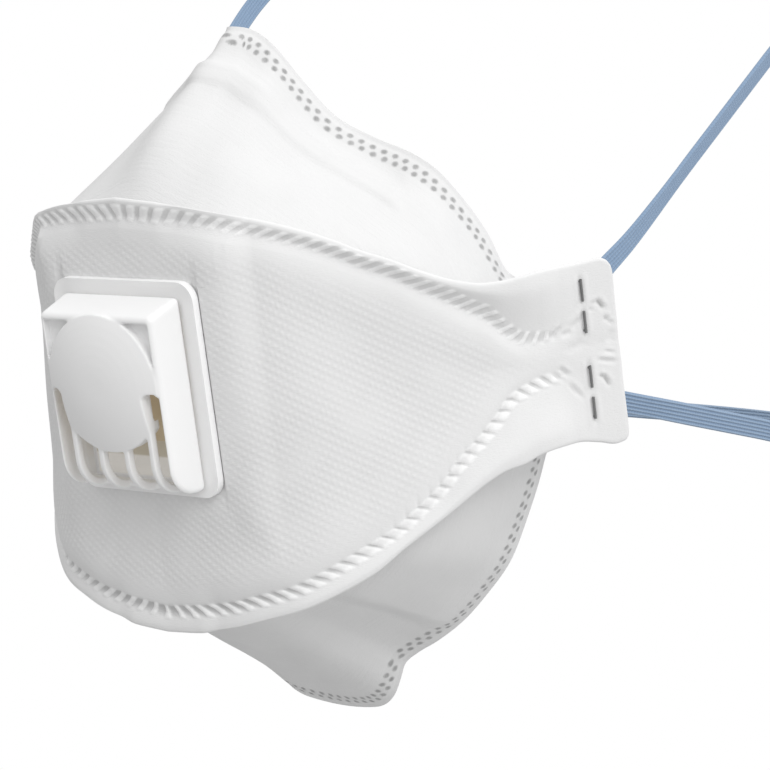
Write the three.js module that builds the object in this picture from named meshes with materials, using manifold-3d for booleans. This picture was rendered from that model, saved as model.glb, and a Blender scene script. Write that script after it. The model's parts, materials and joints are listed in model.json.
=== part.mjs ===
import * as THREE from "three";
import { mergeVertices } from "three/addons/utils/BufferGeometryUtils.js";
import Module from "manifold-3d";

const wasm = await Module();
wasm.setup();

// Driving sizes. Lengths are in mm and angles in degrees. The panel frame holds x across the
// face, y back from the front panel and z up along it, and leans back by PITCH when worn.
const PITCH = 11.5;
const SEAT_BACK = 58;
const SEAT_UP = -2;
const WALL = 1.6;
const GAP = 0.3;
const WELD_DEPTH = 0.3;
const BEHIND = WALL + WELD_DEPTH + GAP;
const TAB_END = 105;
const TAB_START = 93;
const ARC_STEP = 0.25;

const VALVE = { half: 18.8, low: -17.3, high: 27.1, corner: 4, back: -0.2, face: -1.5, rim: -1.9 };
const RIM_WIDTH = 1.1;
const PORT = { across: 0, up: 6, radius: 9.5, lip: 1.3, lipFace: -2.6, bar: 1.4 };
const PANEL_PORT_RADIUS = 9.8;
const PIN = { across: 7, up: 19.2, radius: 1.1, tip: -5.2 };
const COVER = { half: 15.5, wall: 1.2, back: -1.8, discUp: 7.9, discRadius: 14.3, discFace: -10.9 };
const DOME_HEIGHT = 1.1;
const CORNER_RECESS = 1.9;
const SLOT = { inner: 10.9, outer: 14.2, top: 7 };
const RIB = { width: 1.5, places: [-10, -3.3, 3.3, 10] };
const FLAP = { half: 11.4, low: -5.5, high: 21.4, thick: 0.5 };

const CLIP = { half: 58, width: 4.8, thick: 0.9, inset: 12.5 };
const STRAP = { width: 4.6, thick: 1 };
const STRAP_OUT = -(BEHIND + WALL + GAP + STRAP.thick / 2 + 0.1);
const STAPLE_STATION = 97.5;
const WIRE_RADIUS = 0.35;
const FRONT_BULGE = 0.4;
const HOLE_RADIUS = WIRE_RADIUS + GAP;

// The front panel's bend seen from above: the way it faces at each length from the middle.
const BEND = [
  { s: 0, turn: 0 },
  { s: 13, turn: 1 },
  { s: 22, turn: 13 },
  { s: 32, turn: 30 },
  { s: 42, turn: 43 },
  { s: 52, turn: 51.5 },
  { s: 62, turn: 56.5 },
  { s: 76, turn: 59 },
  { s: 112, turn: 60 },
];

// How far the front panel swells out of its upright bend 40 mm up, at the middle and 40 mm down.
const SWELL = [
  { s: 0, up: -0.5, mid: 0, down: 2 },
  { s: 20, up: -1.8, mid: 0, down: 2 },
  { s: 45, up: -5, mid: -0.9, down: 1.2 },
  { s: 70, up: -1, mid: 0.2, down: 1 },
  { s: 88, up: 0, mid: 0, down: 0 },
  { s: 112, up: 0, mid: 0, down: 0 },
];

// The front panel's upper edge and weld, lower weld and edge, and how far its lips stand out.
const OUTLINE = [
  { s: 0, edge: 42.9, weld: 39.6, lowWeld: -43, lowEdge: -46.5, lip: 0.6 },
  { s: 8, edge: 42.1, weld: 39, lowWeld: -42.2, lowEdge: -46, lip: 0.7 },
  { s: 16, edge: 41.2, weld: 38.2, lowWeld: -41.1, lowEdge: -44.7, lip: 0.8 },
  { s: 23, edge: 39.9, weld: 37, lowWeld: -39.3, lowEdge: -42.9, lip: 0.9 },
  { s: 31, edge: 37.8, weld: 34.9, lowWeld: -37.3, lowEdge: -40.8, lip: 1 },
  { s: 39, edge: 35.1, weld: 32.2, lowWeld: -34.1, lowEdge: -38, lip: 1.1 },
  { s: 47, edge: 31.7, weld: 28.6, lowWeld: -30.8, lowEdge: -34.6, lip: 1.2 },
  { s: 53, edge: 28.5, weld: 25.3, lowWeld: -28.3, lowEdge: -30.9, lip: 1.3 },
  { s: 58, edge: 26.2, weld: 22.9, lowWeld: -25.2, lowEdge: -28.2, lip: 1.5 },
  { s: 63, edge: 23.4, weld: 19.6, lowWeld: -21.8, lowEdge: -25.5, lip: 1.7 },
  { s: 68, edge: 20.9, weld: 16.6, lowWeld: -16.9, lowEdge: -22.7, lip: 2 },
  { s: 72, edge: 19.4, weld: 13.9, lowWeld: -13.7, lowEdge: -20.6, lip: 2.3 },
  { s: 76, edge: 18.4, weld: 11.3, lowWeld: -10.1, lowEdge: -19.2, lip: 2.6 },
  { s: 80, edge: 18.2, weld: 7.4, lowWeld: -6.4, lowEdge: -18.7, lip: 2.8 },
  { s: 84, edge: 18.4, weld: 4.9, lowWeld: -4.9, lowEdge: -17.5, lip: 2.9 },
  { s: 88, edge: 18.6, weld: 4.5, lowWeld: -4, lowEdge: -17.2, lip: 2.4 },
  { s: 93, edge: 18.3, weld: 5.6, lowWeld: -3.8, lowEdge: -17.4, lip: 1 },
  { s: 98, edge: 18.1, weld: 6.4, lowWeld: -3.8, lowEdge: -18.6, lip: 0.2 },
  { s: 102, edge: 18.2, weld: 6.4, lowWeld: -3.8, lowEdge: -19.7, lip: 0.2 },
  { s: 103.7, edge: 17.5, weld: 6.4, lowWeld: -3.8, lowEdge: -19.5, lip: 0.2 },
  { s: 104.6, edge: 16.4, weld: 6.2, lowWeld: -3.8, lowEdge: -18.7, lip: 0.2 },
  { s: TAB_END, edge: 15, weld: 6, lowWeld: -3.8, lowEdge: -17.2, lip: 0.2 },
];

// Where the nose panel leaves the front panel's back, its free edge, and its fullness.
const NOSE = [
  { s: 0, start: 39.6, x: 0, y: 40.3, z: 70.6, full: 9, tip: -0.5 },
  { s: 2.5, start: 39.5, x: 1.1, y: 41.5, z: 70.5, full: 7.5, tip: -0.8 },
  { s: 5, start: 39.3, x: 2.1, y: 43, z: 70.2, full: 6, tip: -1 },
  { s: 10, start: 38.8, x: 3.9, y: 44.4, z: 69, full: 3.5, tip: -2 },
  { s: 15, start: 38.3, x: 6, y: 45.2, z: 67.3, full: 2.5, tip: -2.5 },
  { s: 20, start: 37.5, x: 8, y: 45.6, z: 65.3, full: 2.5, tip: -3 },
  { s: 30, start: 34.8, x: 13, y: 47.2, z: 57.8, full: 3, tip: -3 },
  { s: 40, start: 31.6, x: 19.5, y: 48.6, z: 50, full: 4, tip: -3 },
  { s: 50, start: 27, x: 27, y: 50.5, z: 45.4, full: 4.5, tip: -2.5 },
  { s: 60, start: 21.6, x: 35.6, y: 51.8, z: 41.7, full: 4, tip: -2 },
  { s: 67, start: 17.2, x: 41, y: 52.3, z: 38.2, full: 3.5, tip: -1.5 },
  { s: 75, start: 11.9, x: 46.5, y: 54, z: 30.6, full: 2, tip: -1 },
  { s: 80, start: 7.8, x: 50.2, y: 55.2, z: 23.6, full: 1.2, tip: -0.5 },
  { s: 85, start: 4.8, x: 53.9, y: 55.2, z: 16.4, full: 0.8, tip: 0 },
  { s: 89, start: 3, x: 59.4, y: 54.7, z: 14.4, full: 0.4, tip: 0 },
  { s: 93, start: 1.2, x: 66, y: 53.7, z: 14.6, full: 0, tip: 0 },
  { s: 98, start: 0.5, x: 0, y: 0, z: 15.2, full: 0, tip: 0 },
  { s: 101.5, start: 0.5, x: 0, y: 0, z: 15.2, full: 0, tip: 0 },
  { s: 102.9, start: 0.5, x: 0, y: 0, z: 14.6, full: 0, tip: 0 },
  { s: 103.6, start: 0.5, x: 0, y: 0, z: 13.6, full: 0, tip: 0 },
];

// The same for the chin panel, which ends in a rounded tab under the chin.
const CHIN = [
  { s: 0, start: -43, x: 0, y: 48.9, z: -82.4, full: 0, tip: -4 },
  { s: 6, start: -42.4, x: 5, y: 48.7, z: -82.1, full: 0, tip: -4 },
  { s: 10, start: -42, x: 9.5, y: 48.2, z: -81.3, full: 0, tip: -4 },
  { s: 13, start: -41.6, x: 13, y: 47.8, z: -79.8, full: 0, tip: -4 },
  { s: 16, start: -41.1, x: 16, y: 47.6, z: -77, full: 0, tip: -4 },
  { s: 19, start: -40.4, x: 18, y: 47.8, z: -73.2, full: 0, tip: -4 },
  { s: 22, start: -39.6, x: 19.5, y: 48.2, z: -69.8, full: 0, tip: -4 },
  { s: 25, start: -38.9, x: 22.5, y: 49, z: -67.4, full: 0, tip: -4 },
  { s: 30, start: -37.6, x: 27.5, y: 50, z: -64.5, full: 0, tip: -4 },
  { s: 37, start: -35, x: 33.2, y: 52, z: -60.3, full: 3, tip: 1.5 },
  { s: 45, start: -31.7, x: 40, y: 53.5, z: -53.5, full: 4, tip: 2 },
  { s: 53, start: -28.3, x: 46, y: 55, z: -46, full: 5, tip: 2 },
  { s: 61, start: -23.3, x: 50.5, y: 56.6, z: -36.5, full: 4, tip: 2 },
  { s: 68, start: -17.2, x: 54, y: 57.4, z: -28.5, full: 3, tip: 1 },
  { s: 75, start: -11, x: 56, y: 58, z: -23, full: 2, tip: 1 },
  { s: 82, start: -5.3, x: 58.3, y: 57.8, z: -19.3, full: 1, tip: 0 },
  { s: 88, start: -3, x: 61.6, y: 56, z: -17.6, full: 0.4, tip: 0 },
  { s: 93, start: -1.1, x: 66, y: 53.7, z: -17, full: 0, tip: 0 },
  { s: 98, start: -0.5, x: 0, y: 0, z: -17.8, full: 0, tip: 0 },
  { s: 101.5, start: -0.5, x: 0, y: 0, z: -18.2, full: 0, tip: 0 },
  { s: 102.9, start: -0.5, x: 0, y: 0, z: -17.7, full: 0, tip: 0 },
  { s: 103.6, start: -0.5, x: 0, y: 0, z: -16.7, full: 0, tip: 0 },
];

// The cover seen from its side: back edge, sloping top, face and rounded foot.
const COVER_SIDE = [
  { y: COVER.back, z: 24.3 },
  { y: -10.3, z: 22.4 },
  { y: -10.9, z: 21.8 },
  { y: -10.9, z: -7.8 },
  { y: -10.5, z: -10 },
  { y: -9.4, z: -12.2 },
  { y: -7.4, z: -14 },
  { y: -4.8, z: -15.1 },
  { y: COVER.back, z: -15.6 },
];
const COVER_INSIDE = [
  { y: COVER.back + 1, z: 23.3 },
  { y: -9.5, z: 21.3 },
  { y: -9.7, z: 20.9 },
  { y: -9.7, z: -7.5 },
  { y: -9.3, z: -9.4 },
  { y: -8.4, z: -11.3 },
  { y: -6.8, z: -12.9 },
  { y: -4.5, z: -13.9 },
  { y: COVER.back + 1, z: -14.4 },
];

const STATIONS = [
  0, 3.5, 7, 10.5, 14, 17.5, 21, 24.5, 28, 31.5, 35, 38.5, 42, 46, 50, 54, 58, 62, 66, 70, 73, 76,
  79, 82, 85, 88, 91, 94, 98, 102, 103.7, 104.6, TAB_END,
];
const NOSE_STATIONS = [
  0, 2.5, 5, 7.5, 10, 13, 16, 20, 24, 28, 32, 36, 40, 45, 50, 55, 60, 65, 70, 75, 80, 85, 89, 93,
  98, 101.5, 102.9, 103.6,
];
const CHIN_STATIONS = [
  0, 4, 8, 11, 13, 15, 17, 19, 20.5, 22, 25, 30, 35, 40, 45, 50, 55, 60, 65, 70, 75, 80, 85, 89,
  93, 98, 101.5, 102.9, 103.6,
];

// The straps: heights in the tab, then the way each runs back and how it rounds the head.
const HEAD_RUN = {
  inTab: [
    { s: 95.6, z: 6.8 },
    { s: 97.5, z: 8.3 },
    { s: 101, z: 11.2 },
    { s: 104.8, z: 14.6 },
  ],
  aim: { x: 0.15, y: 1, z: 0.87 },
  straight: 92,
  depth: 56,
  level: 1,
};
const NECK_RUN = {
  inTab: [
    { s: 95.6, z: -9.7 },
    { s: 97.5, z: -9.9 },
    { s: 101, z: -11 },
    { s: 104.8, z: -12.6 },
  ],
  aim: { x: 0.15, y: 1, z: -0.2 },
  straight: 62,
  depth: 52,
  level: 0.2,
};

const vec = (x, y, z) => new THREE.Vector3(x, y, z);
const rad = THREE.MathUtils.degToRad;

// A smooth curve through one column of a table, which never overshoots a row.
function curve(table, key) {
  const at = table.map((row) => row.s);
  const value = table.map((row) => row[key]);
  const last = at.length - 1;
  const grade = at.slice(1).map((s, i) => (value[i + 1] - value[i]) / (s - at[i]));
  const slope = value.map((_, i) => {
    if (i === 0) return grade[0];
    if (i === last) return grade[last - 1];
    if (grade[i - 1] * grade[i] <= 0) return 0;
    return 2 / (1 / grade[i - 1] + 1 / grade[i]);
  });
  return (s) => {
    const held = Math.min(Math.max(s, at[0]), at[last]);
    let i = 0;
    while (i < last - 1 && held > at[i + 1]) i += 1;
    const width = at[i + 1] - at[i];
    const t = (held - at[i]) / width;
    const near = (1 + 2 * t) * (1 - t) ** 2 * value[i] + t * (1 - t) ** 2 * width * slope[i];
    const far = t * t * (3 - 2 * t) * value[i + 1] + t * t * (t - 1) * width * slope[i + 1];
    return near + far;
  };
}

// Every column of a table as its curve.
function curves(table) {
  const keys = Object.keys(table[0]).filter((key) => key !== "s");
  return Object.fromEntries(keys.map((key) => [key, curve(table, key)]));
}

const bend = curves(BEND);
const swell = curves(SWELL);
const outline = curves(OUTLINE);
const nose = curves(NOSE);
const chin = curves(CHIN);

// The upright bend followed in short steps from the middle.
const BEND_PATH = [{ x: 0, y: 0 }];
for (let s = ARC_STEP; s <= 112; s += ARC_STEP) {
  const before = BEND_PATH[BEND_PATH.length - 1];
  const turn = rad(bend.turn(s - ARC_STEP / 2));
  BEND_PATH.push({
    x: before.x + Math.cos(turn) * ARC_STEP,
    y: before.y + Math.sin(turn) * ARC_STEP,
  });
}

// A point of the front panel at length s from the middle and height z, moved out of its face.
function frontPoint(s, z, out) {
  const step = s / ARC_STEP;
  const i = Math.min(Math.floor(step), BEND_PATH.length - 2);
  const part = step - i;
  const x = BEND_PATH[i].x + (BEND_PATH[i + 1].x - BEND_PATH[i].x) * part;
  const y = BEND_PATH[i].y + (BEND_PATH[i + 1].y - BEND_PATH[i].y) * part;
  const turn = rad(bend.turn(s));
  const up = z / 40;
  const even = (swell.up(s) + swell.down(s)) / 2 - swell.mid(s);
  const lean = (swell.up(s) - swell.down(s)) / 2;
  const far = swell.mid(s) + lean * up + even * up * up + out;
  return vec(x + Math.sin(turn) * far, y - Math.cos(turn) * far, z);
}

// A closed solid from points and triangles, turned so that its faces look outwards.
function solid(points, faces) {
  const build = (triVerts) =>
    new wasm.Manifold(
      new wasm.Mesh({
        numProp: 3,
        vertProperties: new Float32Array(points.flatMap((p) => [p.x, p.y, p.z])),
        triVerts: new Uint32Array(triVerts.flat()),
      }),
    );
  const made = build(faces);
  return made.volume() > 0 ? made : build(faces.map(([a, b, c]) => [a, c, b]));
}

// A closed wall between two grids of the same size.
function wall(outer, inner) {
  const rows = outer.length;
  const columns = outer[0].length;
  const half = rows * columns;
  const faces = [];
  const quad = (a, b, c, d) => faces.push([a, b, c], [a, c, d]);
  const at = (i, j) => i * columns + j;
  for (let i = 0; i < rows - 1; i += 1) {
    for (let j = 0; j < columns - 1; j += 1) {
      quad(at(i, j), at(i + 1, j), at(i + 1, j + 1), at(i, j + 1));
      quad(half + at(i, j), half + at(i, j + 1), half + at(i + 1, j + 1), half + at(i + 1, j));
    }
    quad(at(i, 0), half + at(i, 0), half + at(i + 1, 0), at(i + 1, 0));
    const end = columns - 1;
    quad(at(i, end), at(i + 1, end), half + at(i + 1, end), half + at(i, end));
  }
  for (let j = 0; j < columns - 1; j += 1) {
    quad(at(0, j), at(0, j + 1), half + at(0, j + 1), half + at(0, j));
    const end = rows - 1;
    quad(at(end, j), half + at(end, j), half + at(end, j + 1), at(end, j + 1));
  }
  return solid([...outer.flat(), ...inner.flat()], faces);
}

// A grid of one half continued over the middle to the other side.
function bothSides(grid) {
  const other = grid
    .slice(1)
    .reverse()
    .map((row) => row.map((p) => vec(-p.x, p.y, p.z)));
  return [...other, ...grid];
}

// A closed geometry as a solid, once its shared corners are merged.
function solidOf(geometry) {
  const bare = new THREE.BufferGeometry();
  bare.setAttribute("position", geometry.getAttribute("position").clone());
  if (geometry.index) bare.setIndex(geometry.index.clone());
  const merged = mergeVertices(bare, 1e-4);
  const place = merged.getAttribute("position");
  const corner = merged.index.array;
  const points = [];
  const faces = [];
  for (let i = 0; i < place.count; i += 1) {
    points.push(vec(place.getX(i), place.getY(i), place.getZ(i)));
  }
  for (let i = 0; i < corner.length; i += 3) {
    const face = [corner[i], corner[i + 1], corner[i + 2]];
    if (new Set(face).size === 3) faces.push(face);
  }
  return solid(points, faces);
}

// A flat outline stretched by some length and then turned into place.
function extruded(corners, length, place) {
  const shape = new THREE.Shape(corners.map(([u, v]) => new THREE.Vector2(u, v)));
  const geometry = new THREE.ExtrudeGeometry(shape, { depth: length, bevelEnabled: false });
  return solidOf(geometry.applyMatrix4(place));
}

// A prism from (y, z) corners, stretched along x from one place to another.
function prismAcross(side, from, to) {
  const place = new THREE.Matrix4().makeBasis(vec(0, 1, 0), vec(0, 0, 1), vec(1, 0, 0));
  const corners = side.map((p) => [p.y, p.z]);
  return extruded(corners, to - from, place.setPosition(from, 0, 0));
}

// A prism from (x, z) corners, stretched along y from its front to its back.
function prismBack(face, front, back) {
  const place = new THREE.Matrix4().makeBasis(vec(1, 0, 0), vec(0, 0, 1), vec(0, -1, 0));
  return extruded(face, back - front, place.setPosition(0, back, 0));
}

// The corners of an upright rectangle with rounded corners.
function rounded(left, right, low, high, radius, steps = 5) {
  const corners = [
    [right - radius, high - radius, 0],
    [left + radius, high - radius, 90],
    [left + radius, low + radius, 180],
    [right - radius, low + radius, 270],
  ];
  return corners.flatMap(([x, z, start]) =>
    Array.from({ length: steps + 1 }, (_, i) => {
      const turn = rad(start + (90 * i) / steps);
      return [x + Math.cos(turn) * radius, z + Math.sin(turn) * radius];
    }),
  );
}

// The corners of a circle.
function circle(x, z, radius, sides = 48) {
  return Array.from({ length: sides }, (_, i) => {
    const turn = (2 * Math.PI * i) / sides;
    return [x + Math.cos(turn) * radius, z + Math.sin(turn) * radius];
  });
}

// A round cord along a path in one plane, which the across vector stands square to. A side of
// -1 makes the same cord on the other half of the mask.
function cord(path, across, radius, side = 1, sides = 8) {
  const points = [];
  const faces = [];
  path.forEach((point, i) => {
    const ahead = path[Math.min(i + 1, path.length - 1)];
    const behind = path[Math.max(i - 1, 0)];
    const along = ahead.clone().sub(behind).normalize();
    const out = along.clone().cross(across).normalize();
    for (let k = 0; k < sides; k += 1) {
      const turn = (2 * Math.PI * k) / sides;
      const round = out.clone().multiplyScalar(Math.cos(turn) * radius);
      points.push(point.clone().add(round).addScaledVector(across, Math.sin(turn) * radius));
    }
  });
  for (let i = 0; i < path.length - 1; i += 1) {
    for (let k = 0; k < sides; k += 1) {
      const a = i * sides + k;
      const b = i * sides + ((k + 1) % sides);
      faces.push([a, b, b + sides], [a, b + sides, a + sides]);
    }
  }
  const end = (path.length - 1) * sides;
  for (let k = 1; k < sides - 1; k += 1) {
    faces.push([0, k + 1, k], [end, end + k, end + k + 1]);
  }
  const placed = points.map((p) => vec(p.x * side, p.y, p.z));
  return solid(placed, faces);
}

// A band whose cross-section is a rectangle, through stations of centre, width and thickness.
function band(stations, width, thick) {
  const points = stations.flatMap(({ centre, wide, deep }) =>
    [
      [-0.5, -0.5],
      [0.5, -0.5],
      [0.5, 0.5],
      [-0.5, 0.5],
    ].map(([w, d]) =>
      centre.clone().addScaledVector(wide, w * width).addScaledVector(deep, d * thick),
    ),
  );
  const faces = [];
  for (let i = 0; i < stations.length - 1; i += 1) {
    for (let k = 0; k < 4; k += 1) {
      const a = i * 4 + k;
      const b = i * 4 + ((k + 1) % 4);
      faces.push([a, b, b + 4], [a, b + 4, a + 4]);
    }
  }
  const end = (stations.length - 1) * 4;
  faces.push([0, 2, 1], [0, 3, 2], [end, end + 1, end + 2], [end, end + 2, end + 3]);
  return solid(points, faces);
}

// A point of the tab, out of the front panel's face by some depth.
function tabPoint(s, z, out) {
  return frontPoint(s, z, out);
}

// The level way along the tab.
function tabAlong() {
  const turn = rad(bend.turn(STAPLE_STATION));
  return vec(Math.cos(turn), Math.sin(turn), 0);
}

// The way square to the tab, outwards.
function tabOut() {
  const turn = rad(bend.turn(STAPLE_STATION));
  return vec(Math.sin(turn), -Math.cos(turn), 0);
}

// Straight holes through one tab for the legs of its two staples.
function stapleHoles(side) {
  const along = tabAlong();
  const holes = STAPLES.flatMap(({ top, foot }) => [top, foot]).map((z) => {
    const path = [tabPoint(STAPLE_STATION, z, 4), tabPoint(STAPLE_STATION, z, -8)];
    return cord(path, along, HOLE_RADIUS, side);
  });
  return holes.reduce((a, b) => a.add(b));
}

// The heights of the front panel's rows at a station, from its upper edge to its lower edge.
function frontRows(s) {
  const top = outline.edge(s);
  const weld = outline.weld(s);
  const lowWeld = outline.lowWeld(s);
  const low = outline.lowEdge(s);
  const lip = outline.lip(s);
  const body = weld - lowWeld - 1.8;
  const bodyRow = (part, out) => ({ z: weld - 0.9 - body * part, out });
  return [
    { z: top, out: lip },
    { z: top - (top - weld) * 0.25, out: lip * 1.12 },
    { z: weld + 0.9, out: lip * 0.3 },
    { z: weld, out: -WELD_DEPTH },
    bodyRow(0, 0.1),
    bodyRow(0.08, 0.3),
    bodyRow(0.26, 0.1),
    bodyRow(0.5, 0),
    bodyRow(0.74, 0.1),
    bodyRow(0.92, 0.3),
    bodyRow(1, 0.1),
    { z: lowWeld, out: -WELD_DEPTH },
    { z: lowWeld - 0.9, out: lip * 0.3 },
    { z: low + (lowWeld - low) * 0.25, out: lip * 1.12 },
    { z: low, out: lip },
  ];
}

// The stiff middle panel of the mask, with a tab at each end and a round port for the valve.
function frontPanel() {
  const face = (depth) =>
    STATIONS.map((s) => frontRows(s).map((row) => frontPoint(s, row.z, row.out - depth)));
  const plate = rounded(
    -VALVE.half - GAP,
    VALVE.half + GAP,
    VALVE.low - GAP,
    VALVE.high + GAP,
    VALVE.corner + GAP,
  );
  return wall(bothSides(face(0)), bothSides(face(WALL)))
    .subtract(prismBack(plate, -10, VALVE.back + GAP))
    .subtract(prismBack(circle(PORT.across, PORT.up, PANEL_PORT_RADIUS, 32), -10, 10))
    .subtract(stapleHoles(1))
    .subtract(stapleHoles(-1));
}

// Where a side panel starts behind the front panel and where its free edge runs, at a station.
function panelEnds(table, s) {
  const start = frontPoint(s, table.start(s), -BEHIND);
  if (s > TAB_START) {
    const part = Math.min((s - TAB_START) / 5, 1);
    const flat = frontPoint(s, table.z(s), -BEHIND);
    const free = vec(table.x(TAB_START), table.y(TAB_START), table.z(s));
    const from = frontPoint(TAB_START, table.z(s), -BEHIND);
    free.sub(from).multiplyScalar(1 - part);
    return { start, free: flat.add(free) };
  }
  return { start, free: vec(table.x(s), table.y(s), table.z(s)) };
}

// A point of a side panel: part way from the front panel to its free edge along a full curve.
function sidePoint(table, sense, s, part) {
  const { start, free } = panelEnds(table, s);
  const turn = rad(bend.turn(s));
  const chord = free.clone().sub(start);
  const out = vec(Math.cos(turn), Math.sin(turn), 0).cross(chord).normalize().multiplyScalar(sense);
  const first = start.clone().addScaledVector(chord, 0.3).addScaledVector(out, table.full(s));
  const second = start.clone().addScaledVector(chord, 0.7).addScaledVector(out, table.tip(s));
  const rest = 1 - part;
  return vec(0, 0, 0)
    .addScaledVector(start, rest ** 3)
    .addScaledVector(first, 3 * rest * rest * part)
    .addScaledVector(second, 3 * rest * part * part)
    .addScaledVector(free, part ** 3);
}

// The way square to a side panel, outwards.
function sideOut(table, sense, s, part) {
  const from = Math.max(part - 0.02, 0);
  const to = Math.min(part + 0.02, 1);
  const before = Math.max(s - 0.5, 0);
  const after = Math.min(s + 0.5, 103.6);
  const rise = sidePoint(table, sense, s, to).sub(sidePoint(table, sense, s, from));
  const run = sidePoint(table, sense, after, part).sub(sidePoint(table, sense, before, part));
  if (s === 0) run.set(1, 0, 0);
  return run.cross(rise).normalize().multiplyScalar(sense);
}

const ROW_PARTS = [0, 0.07, 0.17, 0.31, 0.46, 0.61, 0.76, 0.89, 1];

// A soft side panel: a wall of even thickness from the front panel's weld to its free edge.
function sidePanel(table, sense, stations) {
  const outer = stations.map((s) => ROW_PARTS.map((part) => sidePoint(table, sense, s, part)));
  const inner = stations.map((s, i) =>
    ROW_PARTS.map((part, j) =>
      outer[i][j].clone().addScaledVector(sideOut(table, sense, s, part), -WALL),
    ),
  );
  return wall(bothSides(outer), bothSides(inner))
    .subtract(stapleHoles(1))
    .subtract(stapleHoles(-1));
}

// The soft strip over the nose, shaped by pressing it, held against the nose panel's inside.
function noseClip() {
  const half = [];
  for (let i = 0; i <= 14; i += 1) {
    const s = Math.min((CLIP.half * i) / 14, CLIP.half);
    const { start, free } = panelEnds(nose, s);
    const run = start.distanceTo(free);
    const place = (inset) => Math.max(1 - inset / run, 0.1);
    const rows = [CLIP.inset - CLIP.width / 2, CLIP.inset, CLIP.inset + CLIP.width / 2];
    half.push(
      rows.map((inset) => ({
        point: sidePoint(nose, 1, s, place(inset)),
        out: sideOut(nose, 1, s, place(inset)),
      })),
    );
  }
  const layer = (depth) =>
    half.map((row) => row.map(({ point, out }) => point.clone().addScaledVector(out, -depth)));
  const near = WALL + GAP + 0.1;
  return wall(bothSides(layer(near)), bothSides(layer(near + CLIP.thick)));
}

// The valve's plate, with a raised rim, the seat its flap rests on and two pins that hold it.
function valveSeat() {
  const { half, low, high, corner, back, face, rim } = VALVE;
  const inset = RIM_WIDTH;
  const plate = prismBack(rounded(-half, half, low, high, corner), rim, back);
  const dish = rounded(-half + inset, half - inset, low + inset, high - inset, corner - inset);
  const lip = prismBack(
    circle(PORT.across, PORT.up, PORT.radius + PORT.lip),
    PORT.lipFace,
    face + 0.2,
  );
  const port = prismBack(circle(PORT.across, PORT.up, PORT.radius), -5, 1);
  const reach = PORT.radius + PORT.lip / 2;
  const bar = PORT.bar / 2;
  const upright = prismBack(
    rounded(-bar, bar, PORT.up - reach, PORT.up + reach, 0.3, 1),
    PORT.lipFace + 0.6,
    back,
  );
  const level = prismBack(
    rounded(-reach, reach, PORT.up - bar, PORT.up + bar, 0.3, 1),
    PORT.lipFace + 0.6,
    back,
  );
  const pins = [-1, 1]
    .map((side) => circle(side * PIN.across, PIN.up, PIN.radius, 12))
    .map((pin) => prismBack(pin, PIN.tip, back - 0.2));
  return plate
    .subtract(prismBack(dish, rim - 1, face))
    .add(lip)
    .subtract(port)
    .add(upright)
    .add(level)
    .add(pins[0])
    .add(pins[1]);
}

// The thin flap that opens when the wearer breathes out, hung on the seat's two pins.
function valveFlap() {
  const back = PORT.lipFace - GAP;
  const sheet = rounded(-FLAP.half, FLAP.half, FLAP.low, FLAP.high, 3);
  const holes = [-1, 1].map((side) => circle(side * PIN.across, PIN.up, PIN.radius + GAP, 12));
  return holes.reduce(
    (left, hole) => left.subtract(prismBack(hole, -9, 1)),
    prismBack(sheet, back - FLAP.thick, back),
  );
}

// A shallow dome on the cover's disc, rooted in the disc's wall.
function coverDome() {
  const rings = 4;
  const root = 0.4;
  const rim = 0.08;
  const radius = COVER.discRadius - 0.35;
  const profile = [new THREE.Vector2(0, -root), new THREE.Vector2(radius, -root)];
  for (let i = 0; i <= rings; i += 1) {
    const part = i / rings;
    const rise = rim + (DOME_HEIGHT - rim) * (1 - (1 - part) ** 2);
    profile.push(new THREE.Vector2(radius * (1 - part), rise));
  }
  const geometry = new THREE.LatheGeometry(profile, 48);
  geometry.rotateX(Math.PI);
  return solidOf(geometry.translate(0, COVER.discFace, COVER.discUp));
}

// The valve's cover: a box with a domed disc, sunk corners, side slots and curled ribs below.
function valveCover() {
  const { half, wall: thick, discUp, discRadius, discFace } = COVER;
  const disc = (radius, front, back) => prismBack(circle(0, discUp, radius), front, back);
  const block = (left, right, low, high, front, back) =>
    prismBack(rounded(left, right, low, high, 0.6, 2), front, back);
  const shell = prismAcross(COVER_SIDE, -half, half);
  const hollow = prismAcross(COVER_INSIDE, -half + thick, half - thick);
  const sunk = block(-SLOT.outer, SLOT.outer, SLOT.top - 1, 21.3, discFace - 1, -11.5 + CORNER_RECESS)
    .subtract(disc(discRadius, discFace - 2, 0));
  const deep = block(-half, half, -20, 30, -11.5 + CORNER_RECESS + thick, 1);
  const behindDisc = disc(discRadius - thick, discFace + thick, 1);
  const cavity = hollow.intersect(deep.add(behindDisc));
  const kept = disc(discRadius, -20, 0).intersect(
    prismBack(rounded(-SLOT.inner, SLOT.inner, -20, 30, 0.6, 2), -20, 0),
  );
  const open = block(-SLOT.outer, SLOT.outer, -20, SLOT.top, -20, -4.2).subtract(kept);
  const foot = block(-half, half, -20, 9, -20, 1);
  const ribSide = shell.subtract(hollow).intersect(foot);
  const body = shell.subtract(cavity).subtract(sunk).subtract(open);
  return RIB.places
    .map((x) => ribSide.intersect(prismBack(ribFace(x), -20, 0)))
    .reduce((left, rib) => left.add(rib), body)
    .add(coverDome());
}

// The upright strip that one rib fills, from inside the disc down past the foot.
function ribFace(x) {
  const drop = Math.sqrt(COVER.discRadius ** 2 - x * x);
  const top = COVER.discUp - drop + 0.8;
  const left = x - RIB.width / 2;
  const right = x + RIB.width / 2;
  return [
    [left, -20],
    [right, -20],
    [right, top],
    [left, top],
  ];
}

// The staples: where each one's two legs pass through the tab.
const STAPLES = [
  { name: "upper", top: 15.5, foot: 3.8 },
  { name: "lower", top: -2.2, foot: -14.4 },
];

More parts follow.
